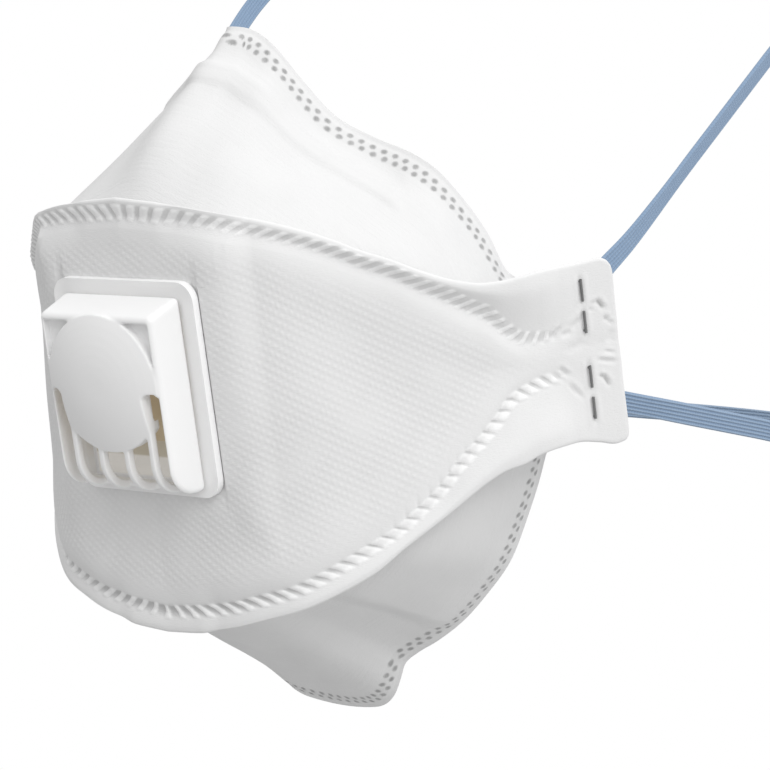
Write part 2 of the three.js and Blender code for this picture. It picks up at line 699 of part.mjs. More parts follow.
// A staple round a strap: a crown behind it, two legs through the tab, closed in at the front.
function staple({ top, foot }, side) {
  const behind = STRAP_OUT - STRAP.thick / 2 - GAP - WIRE_RADIUS - 0.05;
  const ahead = FRONT_BULGE + GAP + WIRE_RADIUS;
  const reach = (top - foot - 2.3) / 2;
  const bendRadius = 0.5;
  const at = (z, out) => tabPoint(STAPLE_STATION, z, out);
  const path = [
    at(top - reach, ahead),
    at(top - bendRadius, ahead),
    at(top - 0.15, ahead - 0.15),
    at(top, ahead - bendRadius),
    at(top, behind + bendRadius),
    at(top - 0.15, behind + 0.15),
    at(top - bendRadius, behind),
    at(foot + bendRadius, behind),
    at(foot + 0.15, behind + 0.15),
    at(foot, behind + bendRadius),
    at(foot, ahead - bendRadius),
    at(foot + 0.15, ahead - 0.15),
    at(foot + bendRadius, ahead),
    at(foot + reach, ahead),
  ];
  return cord(path, tabAlong(), WIRE_RADIUS, side);
}

// The panel frame's place in the whole mask: leaning back, with the seat at the origin.
const LEAN = new THREE.Matrix4()
  .makeRotationX(rad(PITCH))
  .multiply(new THREE.Matrix4().makeTranslation(0, -SEAT_BACK, -SEAT_UP));

// A strap: both ends behind the tabs, straight runs back, and the plain way round the head.
function strap(run) {
  const ends = run.inTab.map(({ s, z }) => tabPoint(s, z, STRAP_OUT).applyMatrix4(LEAN));
  const tabFace = tabOut().transformDirection(LEAN);
  const aim = vec(run.aim.x, run.aim.y, run.aim.z).normalize();
  const leave = ends[ends.length - 1].clone().addScaledVector(aim, 10).add(vec(1, 0, 0));
  const far = leave.clone().addScaledVector(aim, run.straight - 10);
  const level = vec(0, aim.y, run.level * aim.z).normalize();
  const guides = [...ends, leave, leave.clone().lerp(far, 0.33), leave.clone().lerp(far, 0.67), far];
  for (let i = 1; i <= 6; i += 1) {
    const turn = (Math.PI / 2) * (i / 6);
    const reach = level.clone().multiplyScalar(Math.sin(turn) * run.depth);
    guides.push(vec(far.x * Math.cos(turn), far.y, far.z).add(reach));
  }
  guides[guides.length - 1].x = 0;
  const path = new THREE.CatmullRomCurve3(guides, false, "centripetal");
  const pieces = 34;
  const half = [];
  for (let i = 0; i <= pieces; i += 1) {
    const part = i / pieces;
    const centre = path.getPointAt(part);
    const along = path.getTangentAt(part);
    if (i === pieces) along.set(-1, 0, 0);
    const upright = vec(0, -aim.z, aim.y).normalize();
    const outward = along.clone().cross(upright).normalize();
    const share = THREE.MathUtils.smoothstep(part, 0.07, 0.2);
    const deep = tabFace.clone().lerp(outward, share);
    deep.addScaledVector(along, -deep.dot(along)).normalize();
    const wide = deep.clone().cross(along).normalize();
    half.push({ centre, wide, deep });
  }
  const flip = (p, sense) => vec(-p.x * sense, p.y * sense, p.z * sense);
  const other = half
    .slice(0, -1)
    .map(({ centre, wide, deep }) => ({
      centre: flip(centre, 1),
      wide: flip(wide, 1),
      deep: flip(deep, 1),
    }));
  return band([...half, ...other.reverse()], STRAP.width, STRAP.thick);
}

const MATERIALS = {
  cloth: new THREE.MeshStandardMaterial({ color: 0xf4f4f2, roughness: 0.9 }),
  plastic: new THREE.MeshStandardMaterial({ color: 0xf6f6f4, roughness: 0.45 }),
  seat: new THREE.MeshStandardMaterial({ color: 0xe9e6dc, roughness: 0.5 }),
  rubber: new THREE.MeshStandardMaterial({ color: 0xd9a860, roughness: 0.6 }),
  elastic: new THREE.MeshStandardMaterial({ color: 0x86a3c6, roughness: 0.8 }),
  metal: new THREE.MeshStandardMaterial({ color: 0xb9bcc0, roughness: 0.35, metalness: 0.9 }),
};

// One named mesh from a closed solid.
function piece(name, made, material) {
  const held = made.getMesh();
  const places = new Float32Array(held.numVert * 3);
  for (let i = 0; i < held.numVert; i += 1) {
    const from = i * held.numProp;
    places.set(held.vertProperties.subarray(from, from + 3), i * 3);
  }
  const shape = new THREE.BufferGeometry();
  shape.setAttribute("position", new THREE.BufferAttribute(places, 3));
  shape.setIndex(new THREE.BufferAttribute(held.triVerts, 1));
  shape.computeVertexNormals();
  const mesh = new THREE.Mesh(shape, material.clone());
  mesh.name = name;
  return mesh;
}

// The whole mask: the leaning panels and valve, and the straps as they run when worn.
function mask() {
  const leaning = new THREE.Group();
  leaning.add(piece("front_panel", frontPanel(), MATERIALS.cloth));
  leaning.add(piece("nose_panel", sidePanel(nose, 1, NOSE_STATIONS), MATERIALS.cloth));
  leaning.add(piece("chin_panel", sidePanel(chin, -1, CHIN_STATIONS), MATERIALS.cloth));
  leaning.add(piece("nose_clip", noseClip(), MATERIALS.metal));
  leaning.add(piece("valve_seat", valveSeat(), MATERIALS.seat));
  leaning.add(piece("valve_flap", valveFlap(), MATERIALS.rubber));
  leaning.add(piece("valve_cover", valveCover(), MATERIALS.plastic));
  STAPLES.forEach((place) => {
    leaning.add(piece(`${place.name}_left_staple`, staple(place, 1), MATERIALS.metal));
    leaning.add(piece(`${place.name}_right_staple`, staple(place, -1), MATERIALS.metal));
  });
  leaning.applyMatrix4(LEAN);
  const whole = new THREE.Group();
  whole.add(leaning);
  whole.add(piece("head_strap", strap(HEAD_RUN), MATERIALS.elastic));
  whole.add(piece("neck_strap", strap(NECK_RUN), MATERIALS.elastic));
  return whole;
}

export default mask();
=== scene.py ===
import json
import logging
import math
from dataclasses import dataclass, field
from enum import Enum
from typing import Callable, NamedTuple, Sequence

import bpy
import numpy as np
from mathutils import Matrix, Vector
from mathutils.kdtree import KDTree

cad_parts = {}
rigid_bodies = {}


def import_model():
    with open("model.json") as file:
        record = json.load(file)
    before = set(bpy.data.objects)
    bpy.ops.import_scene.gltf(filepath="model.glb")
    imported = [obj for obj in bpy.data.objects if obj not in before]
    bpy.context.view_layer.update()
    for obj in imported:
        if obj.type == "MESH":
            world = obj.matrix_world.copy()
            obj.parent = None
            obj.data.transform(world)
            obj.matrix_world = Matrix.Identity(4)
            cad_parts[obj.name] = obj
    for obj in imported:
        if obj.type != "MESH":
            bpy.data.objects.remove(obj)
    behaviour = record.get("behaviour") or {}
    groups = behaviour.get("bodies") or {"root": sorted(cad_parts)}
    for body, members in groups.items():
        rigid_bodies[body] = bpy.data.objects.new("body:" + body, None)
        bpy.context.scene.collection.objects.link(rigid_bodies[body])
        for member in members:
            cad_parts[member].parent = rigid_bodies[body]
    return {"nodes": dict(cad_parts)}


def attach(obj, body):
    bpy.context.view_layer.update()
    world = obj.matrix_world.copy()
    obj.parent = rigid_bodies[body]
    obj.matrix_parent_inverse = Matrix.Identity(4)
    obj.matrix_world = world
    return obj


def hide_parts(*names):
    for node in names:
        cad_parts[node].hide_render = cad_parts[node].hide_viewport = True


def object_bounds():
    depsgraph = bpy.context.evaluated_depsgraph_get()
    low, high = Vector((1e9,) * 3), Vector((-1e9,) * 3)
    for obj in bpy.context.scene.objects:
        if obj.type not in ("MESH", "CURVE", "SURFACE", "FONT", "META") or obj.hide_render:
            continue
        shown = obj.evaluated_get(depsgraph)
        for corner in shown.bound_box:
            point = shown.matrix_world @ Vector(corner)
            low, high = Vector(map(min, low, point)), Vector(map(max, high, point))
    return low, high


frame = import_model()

CAD_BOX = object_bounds()
LOG = logging.getLogger("respirator")
MM = 0.001

# Shared by several pieces or finishes: sizes in mm, a count of ribs, and turns in degrees.
PLATE_HALF, PLATE_LOW, PLATE_HIGH = 18.8, -17.3, 27.1
PORT_UP = 6.0
STAPLE_STATION = 97.5
STRAP_STATIONS = (95.6, 97.5, 101, 104.8)
STRAP_WIDTH = 4.6
STRAP_RIBS = 6
EDGE_TURNS = (45, 90, 135)


# ---------------------------------------------------------------- shader bench


class Value:
    """A socket that takes part in sums: each operator adds its Math node to the bench."""

    def __init__(self, bench: "Bench", socket: bpy.types.NodeSocket) -> None:
        """Keeps the socket and the bench that its nodes stand on."""
        self.bench = bench
        self.socket = socket

    def __add__(self, other: "Value | float") -> "Value":
        """This plus the other."""
        return self.bench.maths("ADD", self, other)

    def __sub__(self, other: "Value | float") -> "Value":
        """This less the other."""
        return self.bench.maths("SUBTRACT", self, other)

    def __rsub__(self, other: float) -> "Value":
        """The other less this."""
        return self.bench.maths("SUBTRACT", other, self)

    def __mul__(self, other: "Value | float") -> "Value":
        """This times the other."""
        return self.bench.maths("MULTIPLY", self, other)

    def __truediv__(self, other: "Value | float") -> "Value":
        """This shared by the other."""
        return self.bench.maths("DIVIDE", self, other)

    def __abs__(self) -> "Value":
        """The size of this without its sign."""
        return self.bench.maths("ABSOLUTE", self)

    __radd__ = __add__
    __rmul__ = __mul__


Socketed = Value | float | tuple | int


class Bench:
    """The bench on which one material's or world's nodes are set out and joined."""

    def __init__(self, owner: bpy.types.Material | bpy.types.World | str) -> None:
        """Clears the owner's nodes, or those of a new material of that name."""
        self.owner = bpy.data.materials.new(owner) if isinstance(owner, str) else owner
        self.owner.use_nodes = True
        self.tree = self.owner.node_tree
        self.tree.nodes.clear()

    def node(
        self,
        kind: str,
        settings: dict[str, object] | None = None,
        sockets: dict[str | int, Socketed] | None = None,
    ) -> bpy.types.Node:
        """Adds one node.

        Args:
            kind: the node's type.
            settings: its own settings, which are set first.
            sockets: values or links for its inputs, by name or number.

        Returns:
            The node.
        """
        made = self.tree.nodes.new(kind)
        for key, value in (settings or {}).items():
            setattr(made, key, value)
        for key, value in (sockets or {}).items():
            if isinstance(value, Value):
                self.tree.links.new(value.socket, made.inputs[key])
            else:
                made.inputs[key].default_value = value
        return made

    def maths(self, operation: str, *terms: Value | float) -> Value:
        """One Math node over the terms, as a value."""
        made = self.node("ShaderNodeMath", {"operation": operation}, dict(enumerate(terms)))
        return Value(self, made.outputs[0])

    def output(self, made: bpy.types.Node, name: str | int) -> Value:
        """One output of a node, as a value."""
        return Value(self, made.outputs[name])

    def step(self, value: Value, low: float, high: float) -> Value:
        """A smooth rise from 0 at low to 1 at high, which may lie below low."""
        flip = low > high
        first, last = (high, low) if flip else (low, high)
        made = self.node(
            "ShaderNodeMapRange",
            {"interpolation_type": "SMOOTHSTEP"},
            {"Value": value, "From Min": first, "From Max": last},
        )
        rise = self.output(made, "Result")
        return 1 - rise if flip else rise

    def parts(self, vector: Value) -> tuple[Value, Value, Value]:
        """The three parts of a vector."""
        made = self.node("ShaderNodeSeparateXYZ", sockets={"Vector": vector})
        return tuple(self.output(made, axis) for axis in "XYZ")

    def vector(self, x: Socketed, y: Socketed, z: Socketed) -> Value:
        """A vector from three parts."""
        made = self.node("ShaderNodeCombineXYZ", sockets={"X": x, "Y": y, "Z": z})
        return self.output(made, "Vector")

    def place(self) -> Value:
        """The place on the piece, in metres."""
        return self.output(self.node("ShaderNodeTexCoord"), "Object")

    def laid(self, name: str) -> Value:
        """A vector that the piece's own mesh carries."""
        settings = {"attribute_type": "GEOMETRY", "attribute_name": name}
        return self.output(self.node("ShaderNodeAttribute", settings), "Vector")

    def noise(self, vector: Value, scale: float, detail: float = 2.0, rough: float = 0.5) -> Value:
        """Cloudy noise from 0 to 1 over a vector."""
        sockets = {"Vector": vector, "Scale": scale, "Detail": detail, "Roughness": rough}
        made = self.node("ShaderNodeTexNoise", sockets=sockets)
        return self.output(made, 0)

    def blend(self, share: Value | float, first: Socketed, second: Socketed) -> Value:
        """A colour part way from the first to the second."""
        settings = {"data_type": "RGBA", "clamp_factor": True}
        made = self.node("ShaderNodeMix", settings, {0: share, 6: first, 7: second})
        return self.output(made, 2)

    def dress(
        self,
        colour: Socketed,
        rough: Socketed,
        height: Value | None,
        depth: float,
        **fixed: Socketed,
    ) -> bpy.types.Material:
        """Joins the bench's ends into the finished material.

        Args:
            colour: the base colour.
            rough: the roughness.
            height: relief from about 0 to 1.
            depth: how many metres the relief stands for.
            fixed: other shader inputs that are the same all over, with _ for a space.

        Returns:
            The material.
        """
        sockets = {"Base Color": colour, "Roughness": rough}
        sockets.update({key.replace("_", " "): value for key, value in fixed.items()})
        if height is not None:
            bump = self.node("ShaderNodeBump", sockets={"Height": height, "Distance": depth})
            sockets["Normal"] = self.output(bump, "Normal")
        shader = self.node("ShaderNodeBsdfPrincipled", sockets=sockets)
        end = self.node("ShaderNodeOutputMaterial")
        self.tree.links.new(shader.outputs[0], end.inputs["Surface"])
        return self.owner


# ---------------------------------------------------------------- finishes


def grey(level: float, warm: float = 0.0) -> tuple[float, float, float, float]:
    """A near-grey colour, a little warmer where warm is above 0."""
    return (level * (1 + warm), level, level * (1 - warm), 1.0)


class Weave(Enum):
    """How the face of a cloth is pressed."""

    EMBOSSED = "embossed"
    SMOOTH = "smooth"


@dataclass(frozen=True)
class ClothFinish:
    """Nonwoven cloth: matted fibres, a pressed face, weld beads and hem dots."""

    name: str
    weave: Weave
    level: float = 0.805
    bead_level: float = 0.97
    slot_level: float = 0.36
    mark_level: float = 0.15
    pitch: float = 1.4
    dot_level: float = 0.3
    dot_pitch: float = 2.7
    dot_radius: float = 0.72
    dot_rows: tuple[tuple[float, float], ...] = ((2.4, 0.5), (4.1, 0.1))

    def material(self) -> bpy.types.Material:
        """The cloth as a material that reads the sheet's own run, weld and hem."""
        bench = Bench(self.name)
        run, rise, _ = bench.parts(bench.laid("lay"))
        flat = bench.vector(run, rise, 0.0)
        fibres = bench.noise(bench.vector(run * 0.6, rise * 1.7, 0.0), 2.2, 3.0, 0.6)
        cloud = bench.noise(flat, 0.13, 2.0)
        tone = bench.blend(cloud, grey(self.level * 0.97), grey(self.level * 1.015))
        tone = bench.blend(fibres * 0.1, tone, grey(self.level * 0.8))
        marks = self.embossed if self.weave is Weave.EMBOSSED else self.hemmed
        tone, relief = marks(bench, run, rise, tone)
        height = relief + fibres * 0.28
        return bench.dress(
            tone, 0.8 + cloud * 0.1, height, 0.00025, Sheen_Weight=0.1, Sheen_Roughness=0.6
        )

    def embossed(
        self, bench: Bench, run: Value, rise: Value, tone: Value
    ) -> tuple[Value, Value]:
        """Rows of small raised dots, with weld beads along both seams; painted highlights on the
        beads, painted shade in the weld gaps, between the dots and in a band past the upper beads.
        """
        flat = bench.vector(run, rise, 0.0)
        waver = bench.noise(flat, 0.3, 2.0) * 1.3
        turn = math.radians(33)
        across = (run * math.cos(turn) - rise * math.sin(turn) + waver) * (math.tau / self.pitch)
        along = (run * math.sin(turn) + rise * math.cos(turn)) * (math.tau / (self.pitch * 1.06))
        rows = bench.maths("SINE", along) * 0.5 + 0.5
        dots = rows * (bench.maths("SINE", across) * 0.42 + 0.58)
        beat, from_dash, from_weld = bench.parts(bench.laid("weld"))
        bead_half, dark, reach = bench.parts(bench.laid("dash"))
        rim, pressed, _ = bench.parts(bench.laid("rim"))
        patch = bench.step(bench.noise(flat, 0.1, 1.0), 0.25, 0.6) * 0.6 + 0.4
        calm = bench.step(from_weld, -2.5, -8.0) * patch
        fuzz = bench.noise(flat, 1.1, 2.0) - 0.5
        off = 0.5 - abs(bench.maths("FRACT", beat) - 0.5)
        inside = bench.step(abs(from_dash) + fuzz * 0.7 - reach, 0.5, -0.3)
        gap = bench.step(off + fuzz * 0.08 - bead_half, -0.07, 0.07)
        bead = (1 - gap) * inside
        slot = gap * inside * dark
        # painted shade: the low ground between the raised dots is painted a little darker
        tone = bench.blend((1 - dots) * calm * 0.09, tone, grey(self.level * 0.6))
        # painted highlight: the raised weld beads are painted near white for the light their tops
        # catch
        tone = bench.blend(bead * 0.75, tone, grey(self.bead_level))
        # the gaps between beads are painted dark: partly the pressed weld's own translucent grey,
        # partly painted shade in the sunk slots
        tone = bench.blend(slot, tone, grey(self.slot_level))
        # painted shade: the rim band greys the upper flange just past its beads
        tone = bench.blend(rim * 0.7, tone, grey(self.level * 0.66))
        tone = bench.blend(pressed, tone, grey(self.mark_level))
        return tone, dots * calm * 0.3 + fuzz * inside * 0.5

    def hemmed(
        self, bench: Bench, run: Value, rise: Value, tone: Value
    ) -> tuple[Value, Value]:
        """Two rows of small pressed dots along the free edge, on a smooth face."""
        edge_run, edge, _ = bench.parts(bench.laid("hem"))
        flat = bench.vector(run, rise, 0.0)
        fuzz = bench.noise(flat, 1.3, 2.0) - 0.5
        dots: Value | float = 0.0
        for depth, shift in self.dot_rows:
            step = bench.maths("FRACT", edge_run / self.dot_pitch + shift) - 0.5
            gap = step * self.dot_pitch
            off = edge - depth + fuzz * 0.3
            reach = bench.maths("SQRT", gap * gap + off * off) + fuzz * 0.25
            dots = bench.step(reach, self.dot_radius * 1.3, self.dot_radius * 0.35) + dots
        streaks = bench.noise(bench.vector(run * 0.07, rise * 0.9, 0.0), 1.0, 2.0)
        strength = bench.noise(flat, 0.5, 1.0) * 0.7 + 0.5
        seal = bench.step(abs(edge - 3.2), 1.9, 1.2)
        tone = bench.blend(seal * 0.12, tone, grey(self.level * 0.75))
        tone = bench.blend(dots * strength, tone, grey(self.dot_level))
        return tone, streaks * 0.45 - dots * 0.8


@dataclass(frozen=True)
class PlasticFinish:
    """Moulded plastic with a satin face."""

    name: str
    level: float
    warm: float = 0.0
    rough: float = 0.42
    grain: float = 900.0

    def material(self) -> bpy.types.Material:
        """The plastic as a material: faint flow marks and a very fine grain."""
        bench = Bench(self.name)
        place = bench.place()
        grain = bench.noise(place, self.grain * 4, 2.0)
        flow = bench.noise(place, self.grain * 0.08, 2.0)
        tone = bench.blend(flow, grey(self.level * 0.985, self.warm), grey(self.level, self.warm))
        return bench.dress(
            tone, self.rough + flow * 0.08, grain, 0.00002, Coat_Weight=0.1, Coat_Roughness=0.3
        )


@dataclass(frozen=True)
class SeatShadeFinish:
    """The seat's plastic: white outside; inside the cover, painted shade greys it, olive above the
    ledge with a painted reflection of the amber flap, and a faint painted glow lights it.
    """

    name: str = "seat plastic"
    half: float = 14.0
    low: float = -14.0
    high: float = 22.6
    ledge: float = -9.6

    def material(self) -> bpy.types.Material:
        """The seat as a material."""
        bench = Bench(self.name)
        x, _, up = (part * 1000 for part in bench.parts(bench.laid("lay")))
        inside = bench.step(abs(x), self.half, self.half - 0.3)
        inside = inside * bench.step(up, self.high, self.high - 0.3)
        inside = inside * bench.step(up, self.low, self.low + 0.3)
        above = bench.step(up, self.ledge - 0.3, self.ledge + 0.3)
        flow = bench.noise(bench.place(), 90.0, 2.0)
        # painted shade inside the cover: pale grey below the ledge, olive above it with the amber
        # flap's reflection painted in
        shade = bench.blend(above, (0.72, 0.70, 0.67, 1), (0.52, 0.48, 0.40, 1))
        white = bench.blend(flow, grey(0.95), grey(0.97))
        # painted glow: a faint emission that lights the shaded inside of the cover, none outside
        painted_glow = bench.blend(above, (0.16, 0.155, 0.145, 1), (0.10, 0.09, 0.07, 1))
        painted_glow = bench.blend(inside, (0, 0, 0, 1), painted_glow)
        grain = bench.noise(bench.place(), 3600.0, 2.0)
        return bench.dress(
            bench.blend(inside, white, shade), 0.42 + flow * 0.08, grain, 0.00002,
            Coat_Weight=0.1, Emission_Color=painted_glow, Emission_Strength=1.0,
        )


@dataclass(frozen=True)
class RubberFinish:
    """Thin amber rubber, matt with a dusty bloom, and a painted glow: it gives off light though it
    is no lamp.
    """

    name: str = "amber rubber"

    def material(self) -> bpy.types.Material:
        """The rubber as a material."""
        bench = Bench(self.name)
        place = bench.place()
        bloom = bench.noise(place, 260.0, 4.0)
        grain = bench.noise(place, 2400.0, 2.0)
        tone = bench.blend(bloom, (0.32, 0.26, 0.17, 1), (0.40, 0.34, 0.24, 1))
        # painted glow: emission that brightens the flap in the cover's shade, varied by the bloom
        painted_glow = bench.blend(bloom, (0.15, 0.12, 0.08, 1), (0.19, 0.155, 0.105, 1))
        return bench.dress(
            tone, 0.5 + bloom * 0.15, grain, 0.00003, Emission_Color=painted_glow, Emission_Strength=1.0
        )


@dataclass(frozen=True)
class ElasticFinish:
    """Knitted elastic: ribs along the band, faint stitches across them, painted lighter on the rib
    tops and darker in the grooves as painted highlight and shade.
    """

    name: str = "ribbed elastic"
    relief: float = 0.8
    ribs: int = STRAP_RIBS
    width: float = STRAP_WIDTH

    def material(self) -> bpy.types.Material:
        """The elastic as a material that reads the band's own run and width."""
        bench = Bench(self.name)
        run, across, _ = bench.parts(bench.laid("lay"))
        wave = bench.maths("COSINE", across * (math.tau * self.ribs / self.width))
        rib = wave * -0.5 + 0.5
        stitch = bench.maths("SINE", run * (math.tau / 0.8) + across * 1.6) * 0.5 + 0.5
        fuzz = bench.noise(bench.vector(run * 0.4, across, 0.0), 1.0, 3.0)
        # painted highlight on the rib tops, scaled with the relief
        rib_top_highlight = bench.step(rib, 0.45, 0.95)
        tone = bench.blend(fuzz, (0.19, 0.285, 0.425, 1), (0.235, 0.335, 0.475, 1))
        tone = bench.blend(rib_top_highlight * (0.5 * self.relief), tone, (0.39, 0.50, 0.64, 1))
        # painted shade in the grooves between the ribs, scaled with the relief
        groove_shade = bench.step(rib, 0.25, 0.0) * (0.5 * self.relief)
        tone = bench.blend(groove_shade, tone, (0.13, 0.20, 0.33, 1))
        tone = bench.blend(stitch * 0.1, tone, (0.5, 0.6, 0.72, 1))
        height = rib * (0.8 * self.relief) + stitch * 0.12 + fuzz * 0.1
        return bench.dress(tone, 0.8, height, 0.00015, Sheen_Weight=0.2, Sheen_Roughness=0.5)


@dataclass(frozen=True)
class MetalFinish:
    """Drawn or rolled metal with fine lengthwise marks."""

    name: str
    level: float = 0.35
    rough: float = 0.38

    def material(self) -> bpy.types.Material:
        """The metal as a material."""
        bench = Bench(self.name)
        x, y, z = bench.parts(bench.place())
        drawn = bench.noise(bench.vector(x * 4, y * 4, z * 0.3), 900.0, 3.0)
        dull = bench.noise(bench.place(), 300.0, 2.0)
        tone = bench.blend(dull, grey(self.level), grey(self.level * 1.35, -0.01))
        return bench.dress(tone, self.rough + drawn * 0.15, drawn, 0.00002, Metallic=0.85)


CLOTH_FRONT = ClothFinish("pressed cloth", Weave.EMBOSSED)
CLOTH_SIDE = ClothFinish("plain cloth", Weave.SMOOTH, level=0.745)
COVER_PLASTIC = PlasticFinish("cover plastic", 0.91)
SEAT_PLASTIC = SeatShadeFinish()
FLAP_RUBBER = RubberFinish()
STRAP_ELASTIC = ElasticFinish()
STRAP_FLAT = ElasticFinish("flat elastic", relief=0.15)
WIRE = MetalFinish("staple wire", 0.2, 0.42)
STRIP = MetalFinish("clip metal", 0.5, 0.35)


# ---------------------------------------------------------------- smooth tables


class Track:
    """A smooth line through the places of one column, which never overshoots a row."""

    def __init__(self, at: Sequence[float], value: Sequence[float]) -> None:
        """Works out the slope at each row."""
        self.at = np.asarray(at, float)
        self.value = np.asarray(value, float)
        grade = np.diff(self.value) / np.diff(self.at)
        before, after = grade[:-1], grade[1:]
        even = before * after > 0
        mean = 2 * before * after / np.where(even, before + after, 1.0)
        self.slope = np.concatenate([grade[:1], np.where(even, mean, 0.0), grade[-1:]])

    def __call__(self, places: np.ndarray | float) -> np.ndarray:
        """The line's height at each place."""
        held = np.clip(places, self.at[0], self.at[-1])
        i = np.clip(np.searchsorted(self.at, held, side="right") - 1, 0, len(self.at) - 2)
        width = self.at[i + 1] - self.at[i]
        t = (held - self.at[i]) / width
        rest = 1 - t
        near = (1 + 2 * t) * rest**2 * self.value[i] + t * rest**2 * width * self.slope[i]
        far = t * t * (3 - 2 * t) * self.value[i + 1]
        return near + far - t * t * rest * width * self.slope[i + 1]


def tracks(rows: Sequence[NamedTuple]) -> dict[str, Track]:
    """One smooth line for each column after the first, by name."""
    names = rows[0]._fields
    columns = list(zip(*rows))
    return {name: Track(columns[0], column) for name, column in zip(names[1:], columns[1:])}


def rise(value: np.ndarray, low: float, high: float) -> np.ndarray:
    """A smooth rise from 0 at low to 1 at high, which may lie below low."""
    t = np.clip((value - low) / (high - low), 0, 1)
    return t * t * (3 - 2 * t)


def hump(value: np.ndarray, width: float) -> np.ndarray:
    """A smooth hump, 1 at 0 and fading over the width."""
    return np.exp(-((value / width) ** 2))


def unit(ways: np.ndarray) -> np.ndarray:
    """The same ways, each of length 1."""
    return ways / np.maximum(np.linalg.norm(ways, axis=-1, keepdims=True), 1e-9)


def run_along(points: np.ndarray) -> np.ndarray:
    """How far along a line of points each one lies."""
    step = np.linalg.norm(np.diff(points, axis=0), axis=-1)
    return np.concatenate([[0], np.cumsum(step)])


def read_along(places: np.ndarray, run: np.ndarray, points: np.ndarray) -> np.ndarray:
    """A line of points read at other lengths along it."""
    return np.stack([np.interp(places, run, points[:, k]) for k in range(3)], axis=-1)


def both_ways(half: np.ndarray) -> np.ndarray:
    """Stations from the middle outwards, mirrored to the other side, one to a row."""
    return np.concatenate([-half[:0:-1], half])[:, None]


def area_of(grid: np.ndarray) -> float:
    """The area of a grid of points in mm, in square metres."""
    corner = grid[:-1, :-1]
    square = np.cross(grid[1:, :-1] - corner, grid[:-1, 1:] - corner)
    return float(np.linalg.norm(square, axis=-1).sum() * MM * MM)


def edge_rows(first: np.ndarray, last: np.ndarray, way: np.ndarray, sunk: float) -> np.ndarray:
    """Three rows over an edge.

    Args:
        first: the line of points that the rows come from.
        last: the line that they lead to.
        way: how far and which way the edge bulges at each point.
        sunk: the share of that bulge by which all three rows are held back.

    Returns:
        The rows, point by row by three.
    """
    rows = []
    for turn in map(math.radians, EDGE_TURNS):
        share = (1 - math.cos(turn)) / 2
        rows.append(first + (last - first) * share + way * (math.sin(turn) - sunk))
    return np.stack(rows, axis=1)


class Turn(NamedTuple):
    """The way the middle panel faces at a length from its middle, in degrees."""

    s: float
    turn: float


class Swell(NamedTuple):
    """How far the middle panel swells 40 mm up, at its middle and 40 mm down."""

    s: float
    up: float
    mid: float
    down: float


class Outline(NamedTuple):
    """The middle panel's edges and welds, and how far its lips stand out."""

    s: float
    edge: float
    weld: float
    low_weld: float
    low_edge: float
    lip: float


class Edge(NamedTuple):
    """Where a side panel starts, where its free edge runs, and its fullness."""

    s: float
    start: float
    x: float
    y: float
    z: float
    full: float
    tip: float


class Seam(NamedTuple):
    """The weld's beads at a length from the middle: pitch along the seam, slant in degrees,
    centre outside the weld line, half length, width and how dark the gaps are painted, partly
    as painted shade in the sunk slots."""

    s: float
    pitch: float
    slant: float
    centre: float
    half: float
    bead: float
    dark: float


UPPER_SEAM = (
    Seam(0, 3.2, 6, 0.85, 1.5, 1.9, 0.2),
    Seam(6, 3.2, 26, 0.85, 1.5, 1.85, 0.2),
    Seam(14, 3.4, 38, 0.85, 1.35, 1.6, 0.18),
    Seam(22, 3.45, 47, 0.8, 1.15, 1.25, 0.15),
    Seam(30, 3.35, 51, 0.8, 1.05, 1.05, 0.13),
    Seam(38, 3.2, 51, 0.8, 1.0, 0.95, 0.12),
    Seam(46, 3.05, 48, 1, 1.1, 0.95, 0.12),
    Seam(54, 2.95, 46, 1.1, 1.15, 0.95, 0.12),
    Seam(62, 2.75, 43, 1.1, 1.2, 0.95, 0.12),
    Seam(70, 2.6, 38, 1.1, 1.3, 0.9, 0.12),
    Seam(78, 2.6, 32, 1, 1.3, 0.95, 0.12),
    Seam(88, 2.6, 20, 0.6, 1.1, 0.95, 0.16),
)
LOWER_SEAM = (
    Seam(0, 3.3, 4, -0.2, 1.2, 1.25, 0.5),
    Seam(6, 3.4, 38, -0.25, 1.2, 1.25, 0.5),
    Seam(14, 3.4, 46, -0.3, 1.2, 1.25, 0.48),
    Seam(22, 3.2, 45, -0.25, 1.15, 1.25, 0.42),
    Seam(30, 3.05, 43, -0.25, 1.15, 1.3, 0.36),
    Seam(38, 3.05, 41, -0.3, 1.15, 1.4, 0.32),
    Seam(46, 3.15, 42, -0.5, 1.2, 1.85, 0.3),
    Seam(54, 3.1, 38, -0.8, 1.2, 2.0, 0.28),
    Seam(62, 3, 27, -0.9, 1.2, 2.1, 0.26),
    Seam(70, 2.75, 24, -0.5, 1.2, 1.95, 0.26),
    Seam(78, 2.75, 30, -0.1, 1.15, 1.8, 0.28),
    Seam(88, 2.7, 40, 0, 1.1, 1.2, 0.26),
)
BEND = (
    Turn(0, 0),
    Turn(13, 1),
    Turn(22, 13),
    Turn(32, 30),
    Turn(42, 43),
    Turn(52, 51.5),
    Turn(62, 56.5),
    Turn(76, 59),
    Turn(112, 60),
)
SWELL = (
    Swell(0, -0.5, 0, 2),
    Swell(20, -1.8, 0, 2),
    Swell(45, -5, -0.9, 1.2),
    Swell(70, -1, 0.2, 1),
    Swell(88, 0, 0, 0),
    Swell(112, 0, 0, 0),
)
